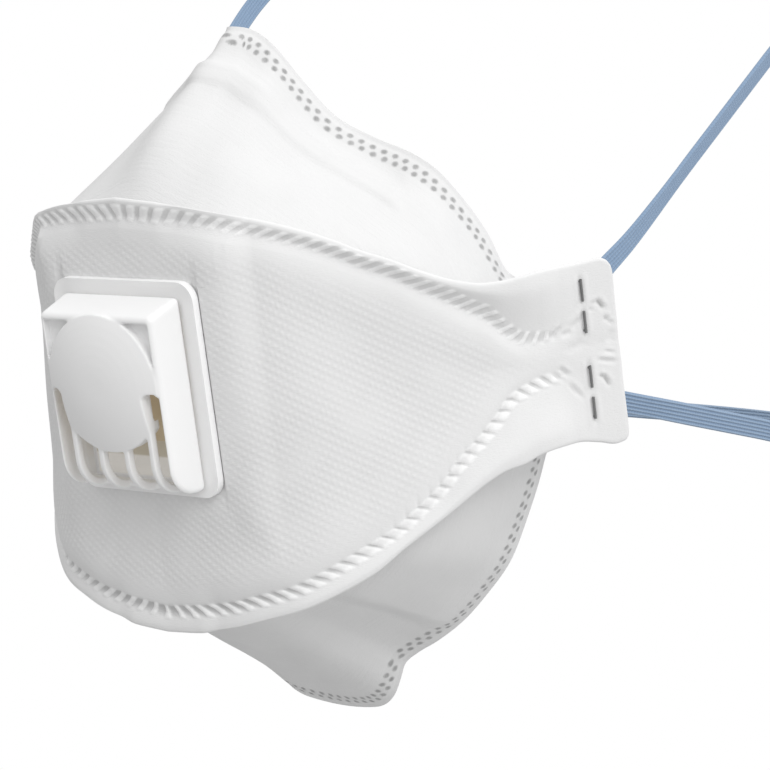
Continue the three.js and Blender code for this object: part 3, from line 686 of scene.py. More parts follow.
OUTLINE = (
    Outline(0, 42.9, 39.6, -43, -46.5, 0.6),
    Outline(8, 42.1, 39, -42.2, -46, 0.55),
    Outline(16, 41.2, 38.2, -41.1, -44.7, 0.45),
    Outline(23, 39.9, 37, -39.3, -42.9, 0.45),
    Outline(31, 37.8, 34.9, -37.3, -40.8, 0.6),
    Outline(39, 35.1, 32.2, -34.1, -38, 0.9),
    Outline(47, 31.7, 28.6, -30.8, -34.6, 1.2),
    Outline(53, 28.5, 25.3, -28.3, -30.9, 1.3),
    Outline(58, 26.2, 22.9, -25.2, -28.2, 1.5),
    Outline(63, 23.4, 19.6, -21.8, -25.5, 1.7),
    Outline(68, 20.9, 16.6, -16.9, -22.7, 2),
    Outline(72, 19.4, 13.9, -13.7, -20.6, 2.3),
    Outline(76, 18.4, 11.3, -10.1, -19.2, 2.6),
    Outline(80, 18.2, 7.4, -6.4, -18.7, 2.8),
    Outline(84, 18.4, 4.9, -4.9, -17.5, 2.9),
    Outline(88, 18.6, 4.5, -4, -17.2, 2.4),
    Outline(93, 18.3, 5.6, -3.8, -17.4, 1),
    Outline(98, 18.1, 6.4, -3.8, -18.6, 0.2),
    Outline(102, 18.2, 6.4, -3.8, -19.7, 0.2),
    Outline(103.7, 17.5, 6.4, -3.8, -19.5, 0.2),
    Outline(104.6, 16.4, 6.2, -3.8, -18.7, 0.2),
    Outline(105, 15, 6, -3.8, -17.2, 0.2),
)
NOSE = (
    Edge(0, 39.6, 0, 40.3, 70.6, 9, -0.5),
    Edge(2.5, 39.5, 1.1, 41.5, 70.5, 7.5, -0.8),
    Edge(5, 39.3, 2.1, 43, 70.2, 6, -1),
    Edge(10, 38.8, 3.9, 44.4, 69, 3.5, -2),
    Edge(15, 38.3, 6, 45.2, 67.3, 2.5, -2.5),
    Edge(20, 37.5, 8, 45.6, 65.3, 2.5, -3),
    Edge(30, 34.8, 13, 47.2, 57.8, 3, -3),
    Edge(40, 31.6, 19.5, 48.6, 50, 4, -3),
    Edge(50, 27, 27, 50.5, 45.4, 4.5, -2.5),
    Edge(60, 21.6, 35.6, 51.8, 41.7, 4, -2),
    Edge(67, 17.2, 41, 52.3, 38.2, 3.5, -1.5),
    Edge(75, 11.9, 46.5, 54, 30.6, 2, -1),
    Edge(80, 7.8, 50.2, 55.2, 23.6, 1.2, -0.5),
    Edge(85, 4.8, 53.9, 55.2, 16.4, 0.8, 0),
    Edge(89, 3, 59.4, 54.7, 14.4, 0.4, 0),
    Edge(93, 1.2, 66, 53.7, 14.6, 0, 0),
    Edge(98, 0.5, 0, 0, 15.2, 0, 0),
    Edge(101.5, 0.5, 0, 0, 15.2, 0, 0),
    Edge(102.9, 0.5, 0, 0, 14.6, 0, 0),
    Edge(103.6, 0.5, 0, 0, 13.6, 0, 0),
)
CHIN = (
    Edge(0, -43, 0, 48.9, -82.4, 0, -4),
    Edge(6, -42.4, 5, 48.7, -82.1, 0, -4),
    Edge(10, -42, 9.5, 48.2, -81.3, 0, -4),
    Edge(13, -41.6, 13, 47.8, -79.8, 0, -4),
    Edge(16, -41.1, 16, 47.6, -77, 0, -4),
    Edge(19, -40.4, 18, 47.8, -73.2, 0, -4),
    Edge(22, -39.6, 19.5, 48.2, -69.8, 0, -4),
    Edge(25, -38.9, 22.5, 49, -67.4, 0, -4),
    Edge(30, -37.6, 27.5, 50, -64.5, 0, -4),
    Edge(37, -35, 33.2, 52, -60.3, 3, 1.5),
    Edge(45, -31.7, 40, 53.5, -53.5, 4, 2),
    Edge(53, -28.3, 46, 55, -46, 5, 2),
    Edge(61, -23.3, 50.5, 56.6, -36.5, 4, 2),
    Edge(68, -17.2, 54, 57.4, -28.5, 3, 1),
    Edge(75, -11, 56, 58, -23, 2, 1),
    Edge(82, -5.3, 58.3, 57.8, -19.3, 1, 0),
    Edge(88, -3, 61.6, 56, -17.6, 0.4, 0),
    Edge(93, -1.1, 66, 53.7, -17, 0, 0),
    Edge(98, -0.5, 0, 0, -17.8, 0, 0),
    Edge(101.5, -0.5, 0, 0, -18.2, 0, 0),
    Edge(102.9, -0.5, 0, 0, -17.7, 0, 0),
    Edge(103.6, -0.5, 0, 0, -16.7, 0, 0),
)


# ---------------------------------------------------------------- the face's plan


@dataclass
class FacePlan:
    """The bent middle face that every cloth panel, staple and strap is placed from."""

    pitch: float = 11.5
    seat_back: float = 58.0
    seat_up: float = -2.0
    behind: float = 2.2
    arc_step: float = 0.25
    tab_start: float = 93.0
    bend: dict[str, Track] = field(default_factory=lambda: tracks(BEND))
    swell: dict[str, Track] = field(default_factory=lambda: tracks(SWELL))
    outline: dict[str, Track] = field(default_factory=lambda: tracks(OUTLINE))
    upper: dict[str, Track] = field(default_factory=lambda: tracks(UPPER_SEAM))
    lower: dict[str, Track] = field(default_factory=lambda: tracks(LOWER_SEAM))

    def __post_init__(self) -> None:
        """Follows the upright bend in short steps from the middle."""
        self.steps = np.arange(0, 112 + self.arc_step / 2, self.arc_step)
        turn = np.radians(self.bend["turn"](self.steps[1:] - self.arc_step / 2))
        self.path_x = np.concatenate([[0], np.cumsum(np.cos(turn) * self.arc_step)])
        self.path_y = np.concatenate([[0], np.cumsum(np.sin(turn) * self.arc_step)])
        self.upper_slope, self.upper_beat = self.seam_run("weld", self.upper)
        self.lower_slope, self.lower_beat = self.seam_run("low_weld", self.lower)

    def seam_run(self, key: str, seam: dict[str, Track]) -> tuple[np.ndarray, np.ndarray]:
        """A seam's slope and the count of beads run along it, at each step."""
        slope = np.gradient(self.outline[key](self.steps), self.steps)
        beads = np.sqrt(1 + slope**2) * self.arc_step / seam["pitch"](self.steps)
        return slope, np.concatenate([[0], np.cumsum((beads[1:] + beads[:-1]) / 2)])

    def point(self, s: np.ndarray, h: np.ndarray, out: np.ndarray | float) -> np.ndarray:
        """Points of the middle face.

        Args:
            s: signed length from the middle, in mm.
            h: height, in mm.
            out: how far the point stands out of the face, in mm.

        Returns:
            Points in the panel frame, in mm, along the last axis.
        """
        s, h, out = np.broadcast_arrays(s, h, out)
        run = np.abs(s)
        turn = np.radians(self.bend["turn"](run))
        up = h / 40
        top, mid, low = (self.swell[key](run) for key in ("up", "mid", "down"))
        far = mid + (top - low) / 2 * up + ((top + low) / 2 - mid) * up * up + out
        x = np.interp(run, self.steps, self.path_x) + np.sin(turn) * far
        y = np.interp(run, self.steps, self.path_y) - np.cos(turn) * far
        return np.stack([np.where(s < 0, -x, x), y, h], axis=-1)

    def worn(self, points: np.ndarray) -> np.ndarray:
        """Points of the panel frame as they sit when worn, in metres."""
        lean = math.radians(self.pitch)
        back, up = points[..., 1] - self.seat_back, points[..., 2] - self.seat_up
        turned = [
            points[..., 0],
            back * math.cos(lean) - up * math.sin(lean),
            back * math.sin(lean) + up * math.cos(lean),
        ]
        return np.stack(turned, axis=-1) * MM

    def matrix(self) -> Matrix:
        """The panel frame's place in the worn mask, in metres."""
        shift = Matrix.Translation((0, -self.seat_back * MM, -self.seat_up * MM))
        return Matrix.Rotation(math.radians(self.pitch), 4, "X") @ shift


# ---------------------------------------------------------------- sheets of cloth


def linked(made: bpy.types.Object) -> bpy.types.Object:
    """Puts a new object into the scene."""
    bpy.context.scene.collection.objects.link(made)
    return made


def lay_on(mesh: bpy.types.Mesh, key: str, vectors: np.ndarray) -> None:
    """Lays a vector on each of a mesh's points, under a name."""
    held = mesh.attributes.new(key, "FLOAT_VECTOR", "POINT")
    held.data.foreach_set("vector", vectors.reshape(-1).astype(np.float32))


def ringed_sheet(name: str, rings: np.ndarray, laid: dict[str, np.ndarray]) -> bpy.types.Object:
    """A closed sheet from rings that run once round its section.

    Args:
        name: the piece's name.
        rings: points in metres, station by ring by three.
        laid: vectors that the mesh carries, of the same shape as the rings.

    Returns:
        The piece, at the origin.
    """
    stations, size = rings.shape[:2]
    index = np.arange(stations * size).reshape(stations, size)
    nxt = np.roll(index, -1, axis=1)
    quads = np.stack([index[:-1], nxt[:-1], nxt[1:], index[1:]], axis=-1).reshape(-1, 4)
    faces = quads.tolist() + [index[0, ::-1].tolist(), index[-1].tolist()]
    points = rings.reshape(-1, 3)
    corner = points[quads]
    turn = np.cross(corner[:, 2] - corner[:, 0], corner[:, 3] - corner[:, 1])
    if (corner.mean(1) * turn).sum() < 0:
        faces = [face[::-1] for face in faces]
    mesh = bpy.data.meshes.new(name)
    mesh.from_pydata(points.tolist(), [], faces)
    for key, vectors in laid.items():
        lay_on(mesh, key, vectors)
    mesh.shade_smooth()
    mesh.update()
    return linked(bpy.data.objects.new(name, mesh))


def lay_again(
    piece: bpy.types.Object, points: np.ndarray, laid: dict[str, np.ndarray]
) -> None:
    """Gives each corner of a cut sheet the vectors of the nearest point before the cut.

    Args:
        piece: the cut sheet.
        points: the places before the cut, in metres, in any shape that ends in three.
        laid: the vectors laid at those places, by name.
    """
    flat = points.reshape(-1, 3)
    tree = KDTree(len(flat))
    for i, point in enumerate(flat.tolist()):
        tree.insert(point, i)
    tree.balance()
    mesh = piece.data
    nearest = [tree.find(vertex.co)[1] for vertex in mesh.vertices]
    for key, vectors in laid.items():
        if key in mesh.attributes:
            mesh.attributes.remove(mesh.attributes[key])
        lay_on(mesh, key, vectors.reshape(-1, 3)[nearest])


def outward(grid: np.ndarray) -> np.ndarray:
    """The way square to a grid of points, of unit length, from its two runs."""
    return unit(np.cross(np.gradient(grid, axis=0), np.gradient(grid, axis=1)))


def rippled(s: np.ndarray, h: np.ndarray, seed: int, waves: int = 14) -> np.ndarray:
    """Slow soft unevenness of hand-sized cloth, about -1 to 1."""
    rng = np.random.default_rng(seed)
    total = np.zeros(np.broadcast(s, h).shape)
    for _ in range(waves):
        length = rng.uniform(14, 48)
        way = rng.uniform(0, math.tau)
        phase = rng.uniform(0, math.tau)
        total += np.sin((s * math.cos(way) + h * math.sin(way)) * math.tau / length + phase)
    return total / math.sqrt(waves)


class Mark(NamedTuple):
    """A small pressed mark: its middle, half sizes, turn in degrees, depth and darkness."""

    s: float
    h: float
    half_length: float
    half_width: float
    turn: float
    depth: float
    dark: float


TAB_MARKS = (
    Mark(101.5, 9.2, 1.2, 0.5, -58, 0.5, 0.6),
    Mark(100.2, 9.8, 1.1, 0.4, 8, 0.3, 0.12),
    Mark(99.2, 8.6, 0.5, 0.5, 0, 0.3, 0.1),
    Mark(102.4, 6.1, 0.55, 0.5, -30, 0.4, 0.3),
    Mark(103.2, 5.2, 0.6, 0.4, -40, 0.3, 0.1),
    Mark(94.2, -7.4, 2.0, 0.4, -57, 0.4, 0.14),
    Mark(93.3, -6.9, 1.3, 0.3, -57, 0.3, 0.18),
    Mark(101.1, -6.6, 1.2, 0.45, -66, 0.5, 0.55),
    Mark(100.2, -5.6, 0.7, 0.4, -30, 0.4, 0.3),
    Mark(101.6, -2.6, 1.9, 0.45, -16, 0.4, 0.1),
    Mark(102.4, -0.9, 1.0, 0.35, -20, 0.25, 0.05),
    Mark(96.3, 6.6, 2.6, 0.7, 30, 0.25, 0.0),
    Mark(91.2, 5.2, 1.4, 0.5, 50, 0.45, 0.1),
    Mark(88.7, 4.9, 1.3, 0.45, 62, 0.4, 0.12),
    Mark(93.4, 4.6, 1.0, 0.5, 10, 0.4, 0.0),
    Mark(91.9, -3.0, 1.2, 0.5, -50, 0.45, 0.12),
    Mark(95.2, 1.6, 2.2, 0.9, 14, 0.2, 0.0),
    Mark(103.0, 2.2, 1.2, 0.7, 70, 0.2, 0.0),
)


class SeamView(NamedTuple):
    """How points of the middle panel lie against their seam, in mm and in beads."""

    away: np.ndarray
    width: np.ndarray
    off: np.ndarray
    beat: np.ndarray
    lip: np.ndarray
    upper: np.ndarray
    from_dash: np.ndarray
    half_bead: np.ndarray
    half: np.ndarray
    dark: np.ndarray


@dataclass
class FrontPanel:
    """The stiff middle panel: two welded seams, flared lips and a tab at each end."""

    plan: FacePlan
    finish: ClothFinish = CLOTH_FRONT
    wall: float = 1.6
    spacing: float = 0.34
    slot_depth: float = 0.17
    puff: float = 0.28
    port: tuple[float, float, float] = (0.0, PORT_UP, 9.8)
    plate: tuple[float, float, float] = (PLATE_HALF, PLATE_LOW, PLATE_HIGH)
    plate_back: float = -0.25
    inner_rows: int = 24
    last_even: float = 104.3
    last_stations: tuple[float, ...] = (104.5, 104.7, 104.84, 104.93, 104.98, 105)
    end_round: float = 0.7
    staple_legs: tuple[float, ...] = (13.0, 6.3, -4.7, -11.9)

    def build(self) -> None:
        """Builds and dresses the panel."""
        even = np.arange(0, self.last_even, self.spacing)
        s = both_ways(np.concatenate([even, self.last_stations]))
        h = self.heights(np.abs(s))
        out, weld, dash, rim = self.relief(s, h)
        outer = self.plan.point(s, h, out)
        keep = np.linspace(0, h.shape[1] - 1, self.inner_rows).round().astype(int)
        inner_h = h[:, keep]
        base = self.smooth_out(s, inner_h)
        thick = self.thickness(s, inner_h)
        inner = self.plan.point(s, inner_h, base - thick)
        rings = self.rounded_rings(outer, inner, np.abs(s))
        lay = np.stack([s + 0 * h, h, 0 * h], axis=-1)
        pairs = {"lay": lay, "weld": weld, "dash": dash, "rim": rim}
        laid = {key: self.carried(vectors, keep) for key, vectors in pairs.items()}
        piece = ringed_sheet("front_cloth", self.plan.worn(rings), laid)
        self.cut_port(piece)
        lay_again(piece, self.plan.worn(rings), laid)
        piece.data.materials.clear()
        piece.data.materials.append(self.finish.material())
        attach(piece, "root")
        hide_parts("front_panel")
        area = area_of(outer)
        LOG.info("front_cloth: %d faces, area %.5f m2", len(piece.data.polygons), area)

    def heights(self, run: np.ndarray) -> np.ndarray:
        """The heights of the outer rows at each station, close together at the seams."""
        lines = {key: self.plan.outline[key](run) for key in
                 ("edge", "weld", "low_weld", "low_edge")}
        top = np.minimum(2.7, 0.8 * (lines["edge"] - lines["weld"]))
        low = np.minimum(2.2, 0.8 * (lines["low_weld"] - lines["low_edge"]))

        def rows(first: np.ndarray, last: np.ndarray, count: int) -> np.ndarray:
            """Even rows from the first height up to, but not at, the last."""
            return first + (last - first) * (np.arange(count) / count)

        below = np.minimum(2.4, 0.5 * (lines["weld"] - lines["low_weld"]) - 1)
        return np.concatenate(
            [
                rows(lines["edge"], lines["weld"] + top, 22),
                rows(lines["weld"] + top, lines["weld"] - below, 17),
                rows(lines["weld"] - below, lines["low_weld"] + below, 26),
                rows(lines["low_weld"] + below, lines["low_weld"] - low, 17),
                rows(lines["low_weld"] - low, lines["low_edge"], 22),
                lines["low_edge"],
            ],
            axis=1,
        )

    def from_seam(self, s: np.ndarray, h: np.ndarray) -> SeamView:
        """Where each point lies against the nearer of the two seams."""
        run = np.abs(s)
        line = {key: track(run) for key, track in self.plan.outline.items()}
        upper = h > (line["weld"] + line["low_weld"]) / 2

        def either(top: np.ndarray, low: np.ndarray) -> np.ndarray:
            """The top's value above the middle and the low one's below it."""
            return np.where(upper, top, low)

        def along(values: np.ndarray) -> np.ndarray:
            """Values at the plan's steps read at each station."""
            return np.interp(run, self.plan.steps, values)

        away = either(h - line["weld"], line["low_weld"] - h)
        width = either(line["edge"] - line["weld"], line["low_weld"] - line["low_edge"])
        lean = np.arctan(either(along(self.plan.upper_slope), -along(self.plan.lower_slope)))
        off = away * np.cos(lean)
        dash = {
            key: either(self.plan.upper[key](run), self.plan.lower[key](run))
            for key in ("pitch", "slant", "centre", "half", "bead", "dark")
        }
        slant = np.radians(dash["slant"])
        beads = either(along(self.plan.upper_beat), along(self.plan.lower_beat))
        shift = away * np.sin(lean) - (off - dash["centre"]) * np.tan(slant)
        beat = beads + shift / dash["pitch"]
        half_bead = dash["bead"] / 2 / (dash["pitch"] * np.cos(slant))
        return SeamView(
            away, width, off, beat, line["lip"] + 0 * h, upper, off - dash["centre"],
            half_bead, dash["half"], dash["dark"],
        )

    def smooth_out(self, s: np.ndarray, h: np.ndarray) -> np.ndarray:
        """How far the cloth stands out before its small relief, in mm."""
        seam = self.from_seam(s, h)
        t = np.clip(seam.away / seam.width, 0, 1)
        flare = seam.lip * (rise(t, -0.05, 0.85) + 0.1 * hump(t - 0.85, 0.2))
        flare = np.where(seam.away > 0, flare, 0)
        crown = 0.75 * rise(seam.away, 0.3, -3.6) * rise(seam.away, -15, -3.0)
        crown = crown * rise(np.abs(s), 94, 70)
        dip = -0.25 * hump(seam.away, 1.5) * rise(np.abs(s), 96, 90)
        ripple = 0.22 * rippled(np.abs(s), h, 4) * rise(seam.away, -1, -8)
        return flare + crown + dip + ripple

    def relief(self, s: np.ndarray, h: np.ndarray) -> tuple[np.ndarray, ...]:
        """How far each outer point stands out, and its weld, dash and rim vectors.

        The dash vector carries the weld gaps' painted shade; the rim vector carries a painted
        shade band past the upper beads and the tab marks' darkness.
        """
        seam = self.from_seam(s, h)
        run = np.abs(s)
        strong = rise(run, 95, 87)
        window = rise(np.abs(seam.from_dash), seam.half + 0.5, seam.half - 0.3) * strong
        off = 0.5 - np.abs(seam.beat - np.floor(seam.beat) - 0.5)
        bead = rise(off, seam.half_bead + 0.1, seam.half_bead - 0.1)
        round_bead = bead * np.sqrt(np.clip(1 - (off / (seam.half_bead + 0.1)) ** 2, 0, 1))
        out = self.smooth_out(s, h)
        slot_depth = self.slot_depth * np.clip(seam.dark / 0.35, 0.3, 1.2)
        out = out + window * (self.puff * round_bead - slot_depth * (1 - bead))
        pressed, mark = self.pressed(run, h)
        tuck = rise(run, 9, 14) * rise(run, 34, 24) * rise(seam.away, -5, -1)
        out = self.under_plate(s, h, out + pressed - 0.7 * tuck)
        past = seam.from_dash - seam.half
        # painted shade: a grey band on the upper flange just past its beads, for the shade under
        # the flange's lip
        band = rise(past, -0.1, 0.7) * rise(run, 90, 60) * seam.upper * 0.28
        band = band * (seam.width - seam.away > 0.35)
        weld = np.stack([seam.beat, seam.from_dash, seam.off], axis=-1)
        # the gaps' painted shade lies at the outer ends of the upper beads, under the flange, and
        # at the inner ends of the lower ones
        tail = np.where(seam.upper, rise(seam.from_dash, -seam.half, 0),
                        rise(seam.from_dash, seam.half * 1.1, -seam.half * 0.5))
        reach = seam.half * strong - (1 - strong)
        dash = np.stack([seam.half_bead, seam.dark * (0.25 + 0.75 * tail), reach], axis=-1)
        rim = np.stack([band, mark, 0 * band], axis=-1)
        return out, weld, dash, rim

    def pressed(self, run: np.ndarray, h: np.ndarray) -> tuple[np.ndarray, np.ndarray]:
        """The small marks pressed into the tabs and the staples' dents, and how dark each is."""
        total = np.zeros(np.broadcast(run, h).shape)
        dark = np.zeros_like(total)
        for mark in TAB_MARKS:
            turn = math.radians(mark.turn)
            u, v = run - mark.s, h - mark.h
            along = (u * math.cos(turn) + v * math.sin(turn)) / mark.half_length
            across = (v * math.cos(turn) - u * math.sin(turn)) / mark.half_width
            shape = np.exp(-(along**4) - across**2)
            total -= mark.depth * shape
            dark = np.maximum(dark, mark.dark * shape**2)
            total += 0.35 * mark.depth * np.exp(-(along**2) - ((across - 2.0) / 0.9) ** 2)
        for leg in self.staple_legs:
            along = np.exp(-(((h - leg) / 3.0) ** 6))
            near = np.abs(run - STAPLE_STATION)
            total -= 0.3 * hump(near, 0.5) * along
            total += 0.15 * hump(near - 1.1, 0.5) * along
        return total, dark

    def under_plate(self, s: np.ndarray, h: np.ndarray, out: np.ndarray) -> np.ndarray:
        """Brings the cloth up to the back of the valve's plate all round it."""
        half, low, high = self.plate
        centre = (low + high) / 2
        gap_x = np.abs(s) - half
        gap_h = np.abs(h - centre) - (high - low) / 2
        off = np.maximum(gap_x, gap_h)
        flat = self.plan.point(s, h, out)[..., 1]
        share = rise(off, 12.0, 0.3)
        wanted = np.where(off < 0, 0.25, self.plate_back - 0.1)
        lift = np.where(off < 0, flat - wanted, np.maximum(flat - wanted, 0))
        return out + share * lift * (np.abs(s) < half + 13)

    def thickness(self, s: np.ndarray, h: np.ndarray) -> np.ndarray:
        """The wall's thickness, less at the seams and edges."""
        seam = self.from_seam(s, h)
        flange = rise(seam.away / seam.width, 0.2, 0.9)
        return self.wall - 0.6 * hump(seam.away, 1.4) - 0.5 * flange

    def rounded_rings(self, outer: np.ndarray, inner: np.ndarray, run: np.ndarray) -> np.ndarray:
        """Rings round the section: the outer rows, a soft edge, the inner rows and back."""
        past = ((run - self.last_even) / self.end_round).clip(0, 1)
        squeeze = np.sqrt(np.clip(1 - past**2, 0.03, 1))[..., None]

        def drawn(grid: np.ndarray, partner: np.ndarray) -> np.ndarray:
            """The grid drawn towards the wall's middle at the two ends."""
            return partner + (grid - partner) * squeeze

        pick = np.linspace(0, inner.shape[1] - 1, outer.shape[1])
        low = np.floor(pick).astype(int).clip(0, inner.shape[1] - 2)
        part = (pick - low)[None, :, None]
        fine_inner = inner[:, low] * (1 - part) + inner[:, low + 1] * part
        outer_mid = (outer + fine_inner) / 2
        keep = np.linspace(0, outer.shape[1] - 1, inner.shape[1]).round().astype(int)
        outer_done = drawn(outer, outer_mid)
        inner_done = drawn(inner, outer_mid[:, keep])
        lower = self.edge_arc(outer_done[:, -1], inner_done[:, -1], -1)
        upper = self.edge_arc(inner_done[:, 0], outer_done[:, 0], 1)
        return np.concatenate([outer_done, lower, inner_done[:, ::-1], upper], axis=1)

    def edge_arc(self, first: np.ndarray, last: np.ndarray, sign: int) -> np.ndarray:
        """Three rows round one edge, bulging up where the sign is 1 and down where it is -1."""
        bulge = sign * np.linalg.norm(first - last, axis=-1) * 0.5
        return edge_rows(first, last, np.stack([0 * bulge, 0 * bulge, bulge], axis=-1), 0.0)

    def carried(self, vectors: np.ndarray, keep: np.ndarray) -> np.ndarray:
        """Outer vectors carried round the ring to the edges and the inner face."""
        inner = vectors[:, keep]
        low = np.repeat(vectors[:, -1:], 3, axis=1)
        top = np.repeat(vectors[:, :1], 3, axis=1)
        return np.concatenate([vectors, low, inner[:, ::-1], top], axis=1)

    def cut_port(self, piece: bpy.types.Object) -> None:
        """Cuts the round port behind the valve."""
        x, up, radius = self.port
        tool = Workshop.rod("port tool", radius, (x, 0.0, up), 20.0, 64)
        tool.data.transform(self.plan.matrix())
        Workshop.combine(piece, tool, "DIFFERENCE")


@dataclass
class SidePanel:
    """A soft side panel: from behind the middle panel's seam to its own dotted free edge."""

    plan: FacePlan
    name: str
    node: str
    rows: Sequence[Edge]
    sense: int
    seed: int
    ridge: bool
    finish: ClothFinish = CLOTH_SIDE
    wall: float = 1.5
    spacing: float = 0.5
    ridge_inset: float = 12.5
    ridge_half: float = 2.4
    ridge_end: float = 58.0
    ridge_height: float = 0.75
    crest: float = 3.2
    outer_rows: int = 58
    inner_rows: int = 20
    edge_samples: int = 2400
    batch: int = 2000
    last_even: float = 103.0
    last_stations: tuple[float, ...] = (103.2, 103.4, 103.5, 103.6)
    allowance: float = 1.05

    def build(self) -> None:
        """Builds and dresses the panel."""
        self.lines = tracks(self.rows)
        even = np.arange(0, self.last_even, self.spacing)
        s = both_ways(np.concatenate([even, self.last_stations]))
        part = 1 - (1 - np.linspace(0, 1, self.outer_rows)) ** 1.35
        outer = self.softened(s, self.surface(s, part[None, :]))
        run, off = self.from_edge(outer)
        normal = outward(outer) * -self.sense
        flip = np.sign((normal[..., 1] * -0.6 + normal[..., 2] * self.sense).mean())
        normal = normal * flip
        shaped = outer + normal * self.relief(s, part[None, :], off)[..., None]
        keep = np.linspace(0, len(part) - 1, self.inner_rows).round().astype(int)
        thick = self.wall - 0.75 * rise(off, 3.0, 0.2)
        inner = (outer - normal * thick[..., None])[:, keep]
        rings = self.rings(shaped, inner)
        flat = np.stack([s + 0 * off, -off, 0 * off], axis=-1)
        hem = np.stack([run, off, 0 * off], axis=-1)
        laid = {"lay": self.carried(flat, keep), "hem": self.carried(hem, keep)}
        piece = ringed_sheet(self.name, self.plan.worn(rings), laid)
        piece.data.materials.append(self.finish.material())
        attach(piece, "root")
        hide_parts(self.node)
        area = area_of(shaped)

    def surface(self, s: np.ndarray, part: np.ndarray) -> np.ndarray:
        """The panel's outer face before its small relief, in the panel frame."""
        run = np.abs(s)
        line = {key: track(run)[..., 0] for key, track in self.lines.items()}
        run = run[..., 0]
        behind = -self.plan.behind
        start = self.plan.point(run, line["start"], behind)
        share = np.clip((run - self.plan.tab_start) / 5, 0, 1)[:, None]
        flat = self.plan.point(run, line["z"], behind)
        last = {key: self.lines[key](self.plan.tab_start) for key in ("x", "y")}
        held = np.stack([last["x"] + 0 * run, last["y"] + 0 * run, line["z"]], axis=-1)
        from_tab = self.plan.point(self.plan.tab_start + 0 * run, line["z"], behind)
        moving = flat + (held - from_tab) * (1 - share)
        plain = np.stack([line["x"], line["y"], line["z"]], axis=-1)
        free = np.where((run > self.plan.tab_start)[:, None], moving, plain)
        turn = np.radians(self.plan.bend["turn"](run))
        chord = free - start
        level = np.stack([np.cos(turn), np.sin(turn), 0 * turn], axis=-1)
        out = np.cross(level, chord)
        out *= self.sense / np.linalg.norm(out, axis=-1, keepdims=True)
        first = start + chord * 0.3 + out * line["full"][:, None]
        second = start + chord * 0.7 + out * line["tip"][:, None]
        t = part[..., None]
        rest = 1 - t
        grid = (
            start[:, None] * rest**3
            + first[:, None] * 3 * rest * rest * t
            + second[:, None] * 3 * rest * t * t
            + free[:, None] * t**3
        )
        grid[..., 0] *= np.where(s < 0, -1, 1)
        return grid

    def softened(self, s: np.ndarray, grid: np.ndarray) -> np.ndarray:
        """Rounds the fold at the middle, where the two halves meet."""
        reach = int(round(3 * self.crest / self.spacing))
        weight = np.exp(-((np.arange(-reach, reach + 1) * self.spacing / self.crest) ** 2) / 2)
        padded = np.pad(grid, ((reach, reach), (0, 0), (0, 0)), mode="edge")
        calm = sum(w * padded[i : i + len(grid)] for i, w in enumerate(weight)) / weight.sum()
        share = rise(np.abs(s), 4 * self.crest, self.crest)[..., None]
        return grid + (calm - grid) * share

    def from_edge(self, outer: np.ndarray) -> tuple[np.ndarray, np.ndarray]:
        """Each point's run along the free edge and its distance from it."""
        edge = outer[:, -1]
        run = run_along(edge)
        run = run - run[len(run) // 2]
        fine = np.linspace(run[0], run[-1], self.edge_samples)
        line = read_along(fine, run, edge)
        flat = outer.reshape(-1, 3)
        best_run = np.empty(len(flat))
        best_off = np.empty(len(flat))
        for start in range(0, len(flat), self.batch):
            here = slice(start, start + self.batch)
            block = flat[here]
            gap = (block**2).sum(1)[:, None] - 2 * block @ line.T + (line**2).sum(1)[None]
            nearest = gap.argmin(1)
            best_run[here] = fine[nearest]
            best_off[here] = np.sqrt(np.maximum(gap[np.arange(len(block)), nearest], 0))
        shape = outer.shape[:2]
        return best_run.reshape(shape), best_off.reshape(shape)

    def relief(self, s: np.ndarray, part: np.ndarray, off: np.ndarray) -> np.ndarray:
        """How far the cloth stands out of its plain curve, in mm."""
        run = np.abs(s)
        calm = rise(run, 96, 84) * rise(part, 0.0, 0.15)
        total = 0.3 * rippled(s, off * 1.4, self.seed) * calm * rise(off, 0.0, 9.0)
        total = total - 0.25 * hump(off - 1.0, 0.9) * rise(run, 96, 88)
        if self.ridge:
            near = np.abs(off - self.ridge_inset)
            along = rise(run, self.ridge_end + 2, self.ridge_end - 2)
            total = total + self.ridge_height * rise(near, self.ridge_half + 1.1,
                                                     self.ridge_half - 0.7) * along
            total = total - 0.5 * hump(off - 6.6, 2.4) * along
        return total

    def rings(self, outer: np.ndarray, inner: np.ndarray) -> np.ndarray:
        """Rings round the section with a rounded free edge."""
        first, last = outer[:, -1], inner[:, -1]
        reach = np.linalg.norm(first - last, axis=-1, keepdims=True) * 0.5
        beyond = unit(outer[:, -1] - outer[:, -2]) * reach * 0.6
        return np.concatenate([outer, edge_rows(first, last, beyond, 0.9), inner[:, ::-1]], axis=1)

    def carried(self, vectors: np.ndarray, keep: np.ndarray) -> np.ndarray:
        """Outer vectors carried round the ring to the edge and the inner face."""
        edge = np.repeat(vectors[:, -1:], 3, axis=1)
        return np.concatenate([vectors, edge, vectors[:, keep][:, ::-1]], axis=1)


# ---------------------------------------------------------------- hard pieces


